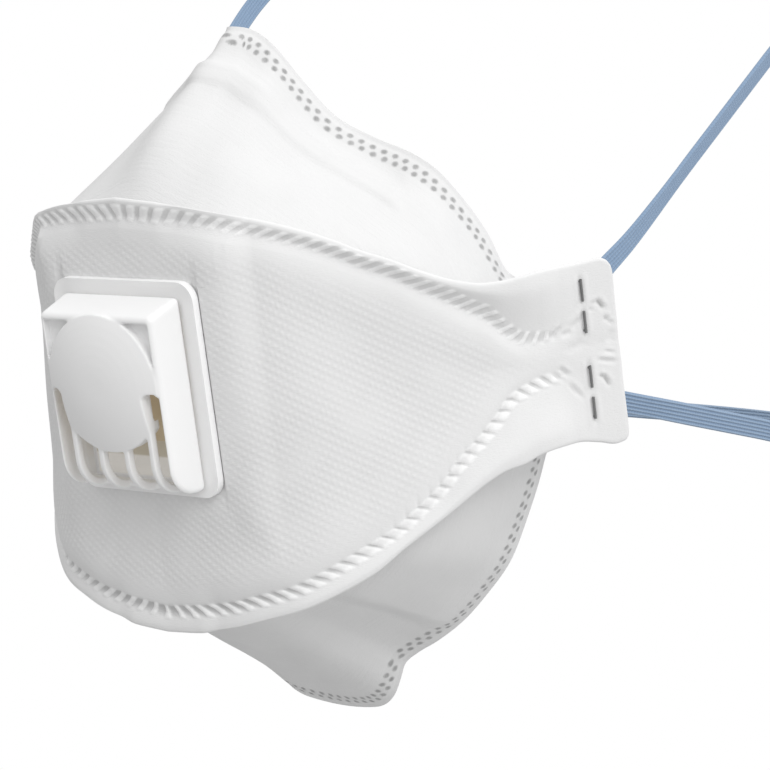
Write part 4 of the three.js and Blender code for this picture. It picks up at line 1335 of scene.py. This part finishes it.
class Workshop:
    """Steps done by hand: primitives, picks in edit mode, and modifiers applied."""

    @staticmethod
    def only(piece: bpy.types.Object) -> None:
        """Selects one object and nothing else."""
        for other in bpy.context.view_layer.objects:
            other.select_set(False)
        piece.select_set(True)
        bpy.context.view_layer.objects.active = piece

    @staticmethod
    def named(name: str) -> bpy.types.Object:
        """Names the new primitive and puts its place into its mesh."""
        piece = bpy.context.active_object
        piece.name = name
        Workshop.only(piece)
        bpy.ops.object.transform_apply(location=True, rotation=True, scale=True)
        return piece

    @staticmethod
    def block(
        name: str, x: tuple[float, float], y: tuple[float, float], z: tuple[float, float]
    ) -> bpy.types.Object:
        """A block between three pairs of places, in mm."""
        spans = (x, y, z)
        centre = [(low + high) / 2 * MM for low, high in spans]
        size = [(high - low) * MM for low, high in spans]
        bpy.ops.mesh.primitive_cube_add(size=1, location=centre, scale=size)
        return Workshop.named(name)

    @staticmethod
    def rod(
        name: str, radius: float, centre: tuple[float, float, float], depth: float, sides: int
    ) -> bpy.types.Object:
        """A round bar that runs front to back, in mm."""
        bpy.ops.mesh.primitive_cylinder_add(
            vertices=sides,
            radius=radius * MM,
            depth=depth * MM,
            location=[part * MM for part in centre],
            rotation=(math.pi / 2, 0, 0),
        )
        return Workshop.named(name)

    @staticmethod
    def pick(
        piece: bpy.types.Object,
        mode: str,
        test: Callable[[list[Vector]], bool],
    ) -> None:
        """Goes into edit mode with the edges or faces that pass a test selected.

        Args:
            piece: the object to edit.
            mode: EDGE or FACE.
            test: says whether corners, in mm, belong to a wanted edge or face.
        """
        Workshop.only(piece)
        mesh = piece.data
        places = [vertex.co / MM for vertex in mesh.vertices]
        for group in (mesh.vertices, mesh.edges, mesh.polygons):
            group.foreach_set("select", [False] * len(group))
        items = mesh.edges if mode == "EDGE" else mesh.polygons
        bpy.context.tool_settings.mesh_select_mode = (False, mode == "EDGE", mode == "FACE")
        for item in items:
            if test([places[i] for i in item.vertices]):
                item.select = True
                if mode == "EDGE":
                    for i in item.vertices:
                        mesh.vertices[i].select = True
        bpy.ops.object.mode_set(mode="EDIT")

    @staticmethod
    def done() -> None:
        """Leaves edit mode."""
        bpy.ops.object.mode_set(mode="OBJECT")

    @staticmethod
    def modify(piece: bpy.types.Object, kind: str, **settings: object) -> None:
        """Adds a modifier with its settings and applies it."""
        Workshop.only(piece)
        modifier = piece.modifiers.new(kind.lower(), kind)
        for key, value in settings.items():
            setattr(modifier, key, value)
        bpy.ops.object.modifier_apply(modifier=modifier.name)

    @staticmethod
    def softened(piece: bpy.types.Object, width: float, segments: int, degrees: float) -> None:
        """Rounds every edge that turns more than an angle, to a width in mm."""
        Workshop.modify(piece, "BEVEL", width=width * MM, segments=segments,
                        limit_method="ANGLE", angle_limit=math.radians(degrees))

    @staticmethod
    def rounded(
        piece: bpy.types.Object, test: Callable[[list[Vector]], bool], offset: float, segments: int
    ) -> None:
        """Rounds the edges that pass a test, to an offset in mm."""
        Workshop.pick(piece, "EDGE", test)
        bpy.ops.mesh.bevel(offset=offset * MM, segments=segments, affect="EDGES")
        Workshop.done()

    @staticmethod
    def shaded(piece: bpy.types.Object, degrees: float) -> None:
        """Shades a piece smooth, apart from the edges that turn more than an angle."""
        Workshop.only(piece)
        bpy.ops.object.shade_smooth_by_angle(angle=math.radians(degrees))

    @staticmethod
    def combine(piece: bpy.types.Object, tool: bpy.types.Object, operation: str) -> None:
        """Cuts, keeps or joins with another closed piece, which is used up."""
        Workshop.modify(piece, "BOOLEAN", operation=operation, object=tool, solver="MANIFOLD")
        mesh = tool.data
        bpy.data.objects.remove(tool)
        bpy.data.meshes.remove(mesh)

    @staticmethod
    def copied(piece: bpy.types.Object, name: str) -> bpy.types.Object:
        """A copy of a piece with its own mesh."""
        other = piece.copy()
        other.data = piece.data.copy()
        other.name = name
        return linked(other)


@dataclass
class Valve:
    """The exhalation valve: a dished plate with its seat, an amber flap and a slotted cover."""

    plan: FacePlan
    half: float = PLATE_HALF
    low: float = PLATE_LOW
    high: float = PLATE_HIGH
    back: float = -0.2
    rim: float = -1.9
    dish: float = 0.45
    rim_width: float = 1.1
    corner: float = 4.0
    port_up: float = PORT_UP
    port_radius: float = 9.5
    cover_half: float = 15.5
    cover_front_half: float = 15.0
    cover_back: float = -1.8
    cover_front: float = -10.9
    cover_low: float = -15.6
    cover_high: float = 24.3
    cover_drop: float = 2.3
    wall: float = 1.2
    foot_round: float = 7.0
    disc_up: float = 8.1
    disc_radius: float = 14.3
    dome: float = 2.8
    recess: float = 1.9
    slot_inner: float = 10.9
    slot_outer: float = 14.3
    slot_top: float = 6.6
    rib_width: float = 1.3
    rib_places: tuple[float, ...] = (-10.3, -3.5, 3.5, 10.3)
    voxel: float = 0.24
    lip: float = 1.3
    bar_half: float = 0.7
    pin_radius: float = 1.1
    pin_across: float = 7.0
    pin_up: float = 19.2
    slot_back: float = -4.2
    slot_round: float = 1.3
    lower_top: float = -0.6
    beyond: float = 20.0

    def build(self) -> None:
        """Builds and dresses the seat and the cover, and dresses the flap."""
        seat = self.seat()
        cover = self.cover()
        for piece, finish, node in (
            (seat, SEAT_PLASTIC, "valve_seat"),
            (cover, COVER_PLASTIC, "valve_cover"),
        ):
            piece.data.materials.clear()
            piece.data.materials.append(finish.material())
            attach(piece, "root")
            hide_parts(node)
            LOG.info("%s: %d faces", piece.name, len(piece.data.polygons))
        dress_node("valve_flap", FLAP_RUBBER.material())
        LOG.info("valve_flap: dressed in %s", FLAP_RUBBER.name)

    def worn(self, piece: bpy.types.Object) -> bpy.types.Object:
        """Leans a finished piece into its place on the mask, its own places kept as laid."""
        mesh = piece.data
        places = np.empty(len(mesh.vertices) * 3, np.float32)
        mesh.vertices.foreach_get("co", places)
        lay_on(mesh, "lay", places)
        mesh.transform(self.plan.matrix())
        mesh.update()
        return piece

    def seat(self) -> bpy.types.Object:
        """The plate with its raised rim, the round seat and the bars across its port."""
        plate = Workshop.block(
            "valve_plate", (-self.half, self.half), (self.rim, self.back), (self.low, self.high)
        )
        Workshop.rounded(
            plate, lambda c: abs(c[0].x - c[1].x) + abs(c[0].z - c[1].z) < 0.1, self.corner, 10
        )
        Workshop.pick(plate, "FACE", lambda c: max(p.y for p in c) < self.rim + 0.05)
        bpy.ops.mesh.inset(thickness=self.rim_width * MM)
        bpy.ops.transform.translate(value=(0, self.dish * MM, 0))
        Workshop.done()
        lip = Workshop.rod("lip", self.port_radius + self.lip, (0, self.rim, self.port_up), 1.6, 72)
        Workshop.combine(plate, lip, "UNION")
        port = Workshop.rod("port", self.port_radius, (0, -1.5, self.port_up), 9.0, 72)
        Workshop.combine(plate, port, "DIFFERENCE")
        reach, half = self.port_radius + 0.6, self.bar_half
        spans = (
            ((-half, half), (self.port_up - reach, self.port_up + reach)),
            ((-reach, reach), (self.port_up - half, self.port_up + half)),
        )
        for across, up in spans:
            bar = Workshop.block("bar", across, (-2.0, self.back - 0.02), up)
            Workshop.combine(plate, bar, "UNION")
        for side in (-1, 1):
            at = (side * self.pin_across, -2.9, self.pin_up)
            pin = Workshop.rod("pin", self.pin_radius, at, 4.6, 24)
            Workshop.combine(plate, pin, "UNION")
        Workshop.softened(plate, 0.22, 3, 50)
        plate.data.shade_smooth()
        Workshop.shaded(plate, 35)
        return self.worn(plate)

    def shell(self, name: str, inset: float) -> bpy.types.Object:
        """The cover's outer form, or its hollow where inset is above 0."""
        back = self.cover_back + (2.0 if inset else 0.0)
        shell = Workshop.block(
            name,
            (-self.cover_half + inset, self.cover_half - inset),
            (self.cover_front + inset, back),
            (self.cover_low + inset, self.cover_high - inset),
        )
        front = self.cover_front + inset + 0.05
        top = self.cover_high - inset - 0.05
        Workshop.pick(shell, "EDGE", lambda c: all(p.y < front and p.z > top for p in c))
        bpy.ops.transform.translate(value=(0, 0, -self.cover_drop * MM))
        Workshop.done()
        Workshop.pick(shell, "FACE", lambda c: all(p.y < front for p in c))
        taper = (self.cover_front_half - inset) / (self.cover_half - inset)
        bpy.ops.transform.resize(value=(taper, 1, 1), center_override=(0, 0, 0))
        Workshop.done()
        low = self.cover_low + inset + 0.05
        Workshop.rounded(
            shell, lambda c: all(p.y < front and p.z < low for p in c), self.foot_round - inset, 12
        )
        return shell

    def disc(self, name: str, radius: float, front: float, back: float) -> bpy.types.Object:
        """A round bar behind the cover's disc, from its front to its back."""
        centre = (0.0, (front + back) / 2, self.disc_up)
        return Workshop.rod(name, radius, centre, back - front, 96)

    def domed_disc(self) -> bpy.types.Object:
        """The cover's disc with a shallow dome raised ring by ring."""
        disc = self.disc("disc", self.disc_radius - 0.05, self.cover_front - 0.12,
                         self.cover_front + self.wall)
        rings = 7
        front = self.cover_front - 0.1
        Workshop.pick(disc, "FACE", lambda c: all(p.y < front for p in c))
        for ring in range(rings):
            before, after = ring / rings, (ring + 1) / rings
            lift = self.dome * ((1 - (1 - after) ** 2) - (1 - (1 - before) ** 2))
            bpy.ops.mesh.inset(thickness=self.disc_radius / (rings + 0.6) * MM)
            bpy.ops.transform.translate(value=(0, -lift * MM, 0))
        Workshop.done()
        return disc

    def cover(self) -> bpy.types.Object:
        """The cover: a tapered box, a domed disc, sunk corners, side slots and curled ribs."""
        front, wall = self.cover_front, self.wall
        shell = self.shell("valve_hood", 0.0)
        Workshop.softened(shell, 1.1, 5, 40)
        ribs_wall = self.shell("rib wall", 0.0)
        Workshop.combine(ribs_wall, self.shell("hollow", 1.7), "DIFFERENCE")
        deep = self.shell("deep hollow", wall)
        keep = Workshop.block("deep", (-self.beyond, self.beyond),
                              (front + self.recess + wall, 5), (-30, 30))
        Workshop.combine(deep, keep, "INTERSECT")
        behind = self.shell("disc hollow", wall)
        Workshop.combine(behind, self.disc("behind", self.disc_radius - wall, front + wall, 5),
                         "INTERSECT")
        Workshop.combine(shell, deep, "DIFFERENCE")
        Workshop.combine(shell, behind, "DIFFERENCE")
        edge = self.cover_front_half - 0.9
        sunk = Workshop.block("sunk", (-edge, edge), (front - 2, front + self.recess),
                              (self.slot_top + 0.4, self.cover_high - self.cover_drop - 1.3))
        Workshop.combine(sunk, self.disc("disc keep", self.disc_radius, -30, 5), "DIFFERENCE")
        Workshop.combine(shell, sunk, "DIFFERENCE")
        Workshop.combine(shell, self.domed_disc(), "UNION")
        for side in (-1, 1):
            span = sorted((side * self.slot_inner, side * self.slot_outer))
            slot = Workshop.block(
                "slot", span, (-self.beyond, self.slot_back), (-self.beyond, self.slot_top)
            )
            Workshop.rounded(
                slot, lambda c: abs(c[0].y - c[1].y) > 1 and c[0].z > 0, self.slot_round, 6
            )
            Workshop.combine(shell, slot, "DIFFERENCE")
        lower = Workshop.block("lower", (-self.slot_inner, self.slot_inner),
                               (-self.beyond, self.slot_back), (-self.beyond, self.lower_top))
        Workshop.combine(lower, self.disc("disc keep", self.disc_radius, -30, 5), "DIFFERENCE")
        Workshop.combine(shell, lower, "DIFFERENCE")
        for x in self.rib_places:
            rib = Workshop.copied(ribs_wall, "rib")
            under_disc = self.disc_up - math.sqrt(self.disc_radius**2 - x * x) + 1.6
            top = self.slot_top if abs(x) > self.disc_radius / 2 else under_disc
            half = self.rib_width / 2
            strip = Workshop.block("strip", (x - half, x + half), (-self.beyond, 0),
                                   (-self.beyond, top))
            Workshop.combine(rib, strip, "INTERSECT")
            Workshop.combine(shell, rib, "UNION")
        bpy.data.objects.remove(ribs_wall)
        Workshop.modify(shell, "REMESH", mode="VOXEL", voxel_size=self.voxel * MM)
        Workshop.modify(shell, "SMOOTH", factor=0.5, iterations=5)
        Workshop.modify(shell, "DECIMATE", ratio=0.45)
        shell.data.shade_smooth()
        return self.worn(shell)


def dress_node(name: str, material: bpy.types.Material) -> None:
    """Gives a node that is carried over a new finish, through its object's slots."""
    node = frame["nodes"][name]
    if not node.material_slots:
        LOG.warning("%s has no material slot", name)
        return
    for slot in node.material_slots:
        slot.link = "OBJECT"
        slot.material = material


@dataclass
class Staples:
    """Four wire staples, two to a tab, whose legs come through and fold in at the front."""

    plan: FacePlan
    radius: float = 0.29
    bend: float = 0.45
    span: float = 12.0
    gap: float = 2.0
    ahead: float = 0.42
    behind: float = -5.75
    sides: int = 12

    def build(self) -> None:
        """Models one staple and places a copy of it at each of its four places."""
        first = self.model()
        finish = WIRE.material()
        for name, top, foot in (("upper", 15.5, 3.8), ("lower", -2.2, -14.4)):
            for word, side in (("left", 1), ("right", -1)):
                piece = Workshop.copied(first, f"{name}_{word}_wire")
                piece.data.transform(self.place(side, (top + foot) / 2))
                piece.data.materials.append(finish)
                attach(piece, "root")
                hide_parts(f"{name}_{word}_staple")
                LOG.info("%s: %d faces", piece.name, len(piece.data.polygons))
        bpy.data.objects.remove(first)

    def model(self) -> bpy.types.Object:
        """One staple upright at the origin: y runs back into the tab and z along the crown."""
        tip = self.gap / 2
        bpy.ops.mesh.primitive_circle_add(
            vertices=self.sides, radius=self.radius * MM, fill_type="NGON",
            location=(0, -self.ahead * MM, tip * MM),
        )
        staple = Workshop.named("staple")
        Workshop.pick(staple, "FACE", lambda c: True)
        edge = self.span / 2
        turns = 6
        steps = (
            ((0, 0, edge - self.bend - tip), (0, -self.ahead + self.bend, edge - self.bend)),
            ((0, -self.behind + self.ahead - 2 * self.bend, 0),
             (0, -self.behind - self.bend, edge - self.bend)),
            ((0, 0, -2 * (edge - self.bend)),
             (0, -self.behind - self.bend, -edge + self.bend)),
            ((0, self.behind - self.ahead + 2 * self.bend, 0),
             (0, -self.ahead + self.bend, -edge + self.bend)),
        )
        for move, pivot in steps:
            bpy.ops.mesh.extrude_region_move(
                TRANSFORM_OT_translate={"value": [part * MM for part in move]}
            )
            bpy.ops.mesh.spin(
                steps=turns, angle=math.pi / 2, use_auto_merge=False,
                center=[part * MM for part in pivot], axis=(-1, 0, 0),
            )
        bpy.ops.mesh.extrude_region_move(
            TRANSFORM_OT_translate={"value": (0, 0, (edge - self.bend - tip) * MM)}
        )
        bpy.ops.mesh.select_all(action="SELECT")
        bpy.ops.mesh.remove_doubles(threshold=0.01 * MM)
        bpy.ops.mesh.normals_make_consistent(inside=False)
        Workshop.done()
        Workshop.shaded(staple, 50)
        return staple

    def place(self, side: int, height: float) -> Matrix:
        """Where a staple's middle sits on one tab, as a matrix in metres."""
        at = self.plan.point(np.array(side * STAPLE_STATION), np.array(height), 0.0) * MM
        turn = math.radians(float(self.plan.bend["turn"](STAPLE_STATION))) * side
        return self.plan.matrix() @ Matrix.Translation(at) @ Matrix.Rotation(turn, 4, "Z")


@dataclass
class Strap:
    """A knitted elastic loop from one tab round the back of the head to the other."""

    plan: FacePlan
    name: str
    node: str
    heights: tuple[float, ...]
    aim: tuple[float, float, float]
    straight: float
    depth: float
    level: float
    finish: ElasticFinish = STRAP_ELASTIC
    turned: float = 0.0
    width: float = STRAP_WIDTH
    thick: float = 0.95
    out: float = -4.7
    ribs: int = STRAP_RIBS
    rib_depth: float = 0.14
    stations: int = 230
    lead: float = 10.0
    bend_steps: int = 6

    def build(self) -> None:
        """Builds and dresses the loop."""
        path, wide, deep, run = self.course()
        section = self.section()
        rings = (
            path[:, None]
            + wide[:, None] * section[None, :, :1] * MM
            + deep[:, None] * section[None, :, 1:] * MM
        )
        lay = np.zeros(rings.shape)
        lay[..., 0] = run[:, None]
        lay[..., 1] = section[None, :, 0]
        piece = ringed_sheet(self.name, rings, {"lay": lay})
        piece.data.materials.append(self.finish.material())
        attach(piece, "root")
        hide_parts(self.node)
        LOG.info("%s: %.0f mm long, %d faces", self.name, np.ptp(run), len(piece.data.polygons))

    def section(self) -> np.ndarray:
        """The band's cut end, across and through, in mm: two ribbed faces and round edges."""
        across = np.linspace(-0.5, 0.5, self.ribs * 5 + 1) * (self.width - 0.5)
        rib = self.rib_depth * (0.5 - 0.5 * np.cos(across / self.width * math.tau * self.ribs))
        face = self.thick / 2 - self.rib_depth + rib
        turn = np.radians(np.linspace(0, 180, 7)[1:-1])
        side = self.thick / 2 - self.rib_depth
        right = np.stack(
            [across[-1] + 0.25 * np.sin(turn), side * np.cos(turn)], axis=-1
        )
        upper = np.stack([across, face], axis=-1)
        lower = np.stack([across[::-1], -face[::-1]], axis=-1)
        return np.concatenate([upper, right, lower, -right])

    def course(self) -> tuple[np.ndarray, np.ndarray, np.ndarray, np.ndarray]:
        """The band's middle line, its wide and deep ways, and its run in mm."""
        stations, heights = np.array(STRAP_STATIONS), np.array(self.heights)
        tab = self.plan.worn(self.plan.point(stations, heights, self.out))
        aim = unit(np.array(self.aim))
        leave = tab[-1] + aim * self.lead * MM + np.array([1, 0, 0]) * MM
        far = leave + aim * (self.straight - self.lead) * MM
        level = unit(np.array([0, aim[1], self.level * aim[2]]))
        guides = [*tab, leave, leave + (far - leave) * 0.33, leave + (far - leave) * 0.67, far]
        for i in range(1, self.bend_steps + 1):
            turn = math.pi / 2 * i / self.bend_steps
            reach = level * math.sin(turn) * self.depth * MM
            guides.append(np.array([far[0] * math.cos(turn), far[1], far[2]]) + reach)
        guides[-1][0] = 0.0
        path = self.smooth(np.array(guides))
        along = unit(np.gradient(path, axis=0))
        along[-1] = (-1, 0, 0)
        run = run_along(path)
        part = run / run[-1]
        outward_way = unit(np.cross(along, unit(np.array([0, -aim[2], aim[1]]))))
        turn = math.radians(float(self.plan.bend["turn"](STAPLE_STATION)))
        lean = math.radians(self.plan.pitch)
        face = np.array([math.sin(turn), -math.cos(turn) * math.cos(lean),
                         -math.cos(turn) * math.sin(lean)])
        share = rise(part, 0.07, 0.2)[:, None]
        deep = face * (1 - share) + outward_way * share
        deep = unit(deep - along * (deep * along).sum(1, keepdims=True))
        wide = np.cross(deep, along)
        angle = math.radians(self.turned) * rise(part, 0.02, 0.12) * rise(part, 0.95, 0.6)
        cosine, sine = np.cos(angle)[:, None], np.sin(angle)[:, None]
        deep, wide = deep * cosine - wide * sine, wide * cosine + deep * sine
        whole, wide, deep = (
            np.concatenate([near, near[-2::-1] * np.array([-1, 1, 1])])
            for near in (path, wide, deep)
        )
        run = np.concatenate([run, 2 * run[-1] - run[-2::-1]]) / MM
        return whole, wide, deep, run

    def smooth(self, guides: np.ndarray) -> np.ndarray:
        """A smooth path through the guides, in even steps."""
        gaps = np.linalg.norm(np.diff(guides, axis=0), axis=-1) ** 0.5
        knots = np.concatenate([[0], np.cumsum(gaps)])
        padded = np.vstack([2 * guides[0] - guides[1], guides, 2 * guides[-1] - guides[-2]])
        times = np.concatenate([[-gaps[0]], knots, [knots[-1] + gaps[-1]]])
        dense = []
        for i in range(1, len(padded) - 2):
            t = np.linspace(times[i], times[i + 1], 60, endpoint=False)[:, None]
            t0, t1, t2, t3 = times[i - 1 : i + 3]
            p0, p1, p2, p3 = padded[i - 1 : i + 3]
            a1 = (t1 - t) / (t1 - t0) * p0 + (t - t0) / (t1 - t0) * p1
            a2 = (t2 - t) / (t2 - t1) * p1 + (t - t1) / (t2 - t1) * p2
            a3 = (t3 - t) / (t3 - t2) * p2 + (t - t2) / (t3 - t2) * p3
            b1 = (t2 - t) / (t2 - t0) * a1 + (t - t0) / (t2 - t0) * a2
            b2 = (t3 - t) / (t3 - t1) * a2 + (t - t1) / (t3 - t1) * a3
            dense.append((t2 - t) / (t2 - t1) * b1 + (t - t1) / (t2 - t1) * b2)
        line = np.vstack([*dense, guides[-1:]])
        run = run_along(line)
        return read_along(np.linspace(0, run[-1], self.stations), run, line)


# ---------------------------------------------------------------- studio


@dataclass
class Studio:
    """A pale floor, soft light from above and one side, and the camera."""

    azimuth: float = 38.0
    elevation: float = 5.0
    distance: float = 0.6
    target: tuple[float, float, float] = (0.03796, -0.02706, -0.00497)
    lens: float = 138.86
    floor_drop: float = 0.4
    floor_radius: float = 1.1
    ambient: float = 0.70
    gradient: tuple[float, float, float] = (0.26, 0.10, 0.53)

    def build(self) -> None:
        """Sets up the camera, world, lights and floor."""
        self.camera()
        self.world()
        self.lights()
        self.floor()
        LOG.info("studio: camera at azimuth %.0f, elevation %.0f", self.azimuth, self.elevation)

    def placed(
        self, name: str, data: bpy.types.ID, place: Vector, way: Vector
    ) -> bpy.types.Object:
        """A new camera or lamp at a place, looking the given way."""
        made = bpy.data.objects.new(name, data)
        made.location = place
        made.rotation_mode = "QUATERNION"
        made.rotation_quaternion = way.to_track_quat("-Z", "Y")
        return linked(made)

    def camera(self) -> None:
        """The camera, aimed at its target."""
        a, e = math.radians(self.azimuth), math.radians(self.elevation)
        back = Vector((math.sin(a) * math.cos(e), -math.cos(a) * math.cos(e), math.sin(e)))
        data = bpy.data.cameras.new("camera")
        data.lens = self.lens
        data.sensor_width = 36.0
        data.clip_start = 0.01
        place = Vector(self.target) + back * self.distance
        bpy.context.scene.camera = self.placed("camera", data, place, -back)
        bpy.context.scene.view_settings.view_transform = "Standard"

    def world(self) -> None:
        """Soft light from all round, brighter from above and one side, before a white sky."""
        world = bpy.data.worlds.new("studio")
        bpy.context.scene.world = world
        bench = Bench(world)
        way = bench.parts(bench.output(bench.node("ShaderNodeTexCoord"), "Generated"))
        level: Value | float = self.ambient
        for part, gain in zip(way, self.gradient):
            level = part * gain + level
        level = bench.maths("MAXIMUM", level, 0.02)
        seen = bench.output(bench.node("ShaderNodeLightPath"), "Is Camera Ray")
        strength = level * (1 - seen) + seen
        shade = bench.node(
            "ShaderNodeBackground", sockets={"Color": grey(1.0), "Strength": strength}
        )
        end = bench.node("ShaderNodeOutputWorld")
        bench.tree.links.new(shade.outputs[0], end.inputs["Surface"])

    def lamp(
        self, name: str, place: tuple[float, float, float], size: float, power: float
    ) -> None:
        """A square soft light aimed at the target."""
        data = bpy.data.lights.new(name, "AREA")
        data.energy = power
        data.size = size
        self.placed(name, data, Vector(place), Vector(self.target) - Vector(place))

    def lights(self) -> None:
        """A large soft light above and to one side."""
        self.lamp("key light", (0.70, -0.42, 0.55), 0.4, 2.3)

    def floor(self) -> None:
        """A pale floor that fades out at its rim and can't be seen from below."""
        low = CAD_BOX[0].z - self.floor_drop
        bpy.ops.mesh.primitive_circle_add(
            vertices=96, radius=self.floor_radius, fill_type="NGON", location=(0, 0, low)
        )
        floor = bpy.context.active_object
        floor.name = "floor"
        bench = Bench("pale floor")
        x, y, _ = bench.parts(bench.place())
        reach = bench.maths("SQRT", x * x + y * y)
        under = bench.output(bench.node("ShaderNodeNewGeometry"), "Backfacing")
        fade = bench.step(reach, self.floor_radius * 0.25, self.floor_radius * 0.95)
        hidden = bench.maths("MAXIMUM", fade, under)
        pale = bench.node("ShaderNodeBsdfDiffuse", sockets={"Color": grey(0.55)})
        clear = bench.node("ShaderNodeBsdfTransparent")
        mix = bench.node("ShaderNodeMixShader", sockets={0: hidden})
        bench.tree.links.new(pale.outputs[0], mix.inputs[1])
        bench.tree.links.new(clear.outputs[0], mix.inputs[2])
        end = bench.node("ShaderNodeOutputMaterial")
        bench.tree.links.new(mix.outputs[0], end.inputs["Surface"])
        floor.data.materials.append(bench.owner)


# ---------------------------------------------------------------- the whole mask


def main() -> None:
    """Builds the studio and each sub-assembly in order."""
    logging.basicConfig(level=logging.INFO, format="%(name)s: %(message)s")
    plan = FacePlan()
    head_ends = (6.8, 8.3, 11.2, 14.6)
    neck_ends = (-9.7, -9.9, -11, -12.6)
    Studio().build()
    SidePanel(plan, "nose_cloth", "nose_panel", NOSE, 1, 11, True).build()
    SidePanel(plan, "chin_cloth", "chin_panel", CHIN, -1, 23, False).build()
    FrontPanel(plan).build()
    Valve(plan).build()
    Staples(plan).build()
    Strap(plan, "head_band", "head_strap", head_ends, (0.15, 1, 0.87), 92, 56, 1.0,
          finish=STRAP_FLAT, turned=18).build()
    Strap(plan, "neck_band", "neck_strap", neck_ends, (0.15, 1, -0.2), 62, 52, 0.2,
          turned=14).build()
    dress_node("nose_clip", STRIP.material())
    LOG.info("nose_clip: dressed in %s", STRIP.name)


if __name__ == "__main__":
    main()
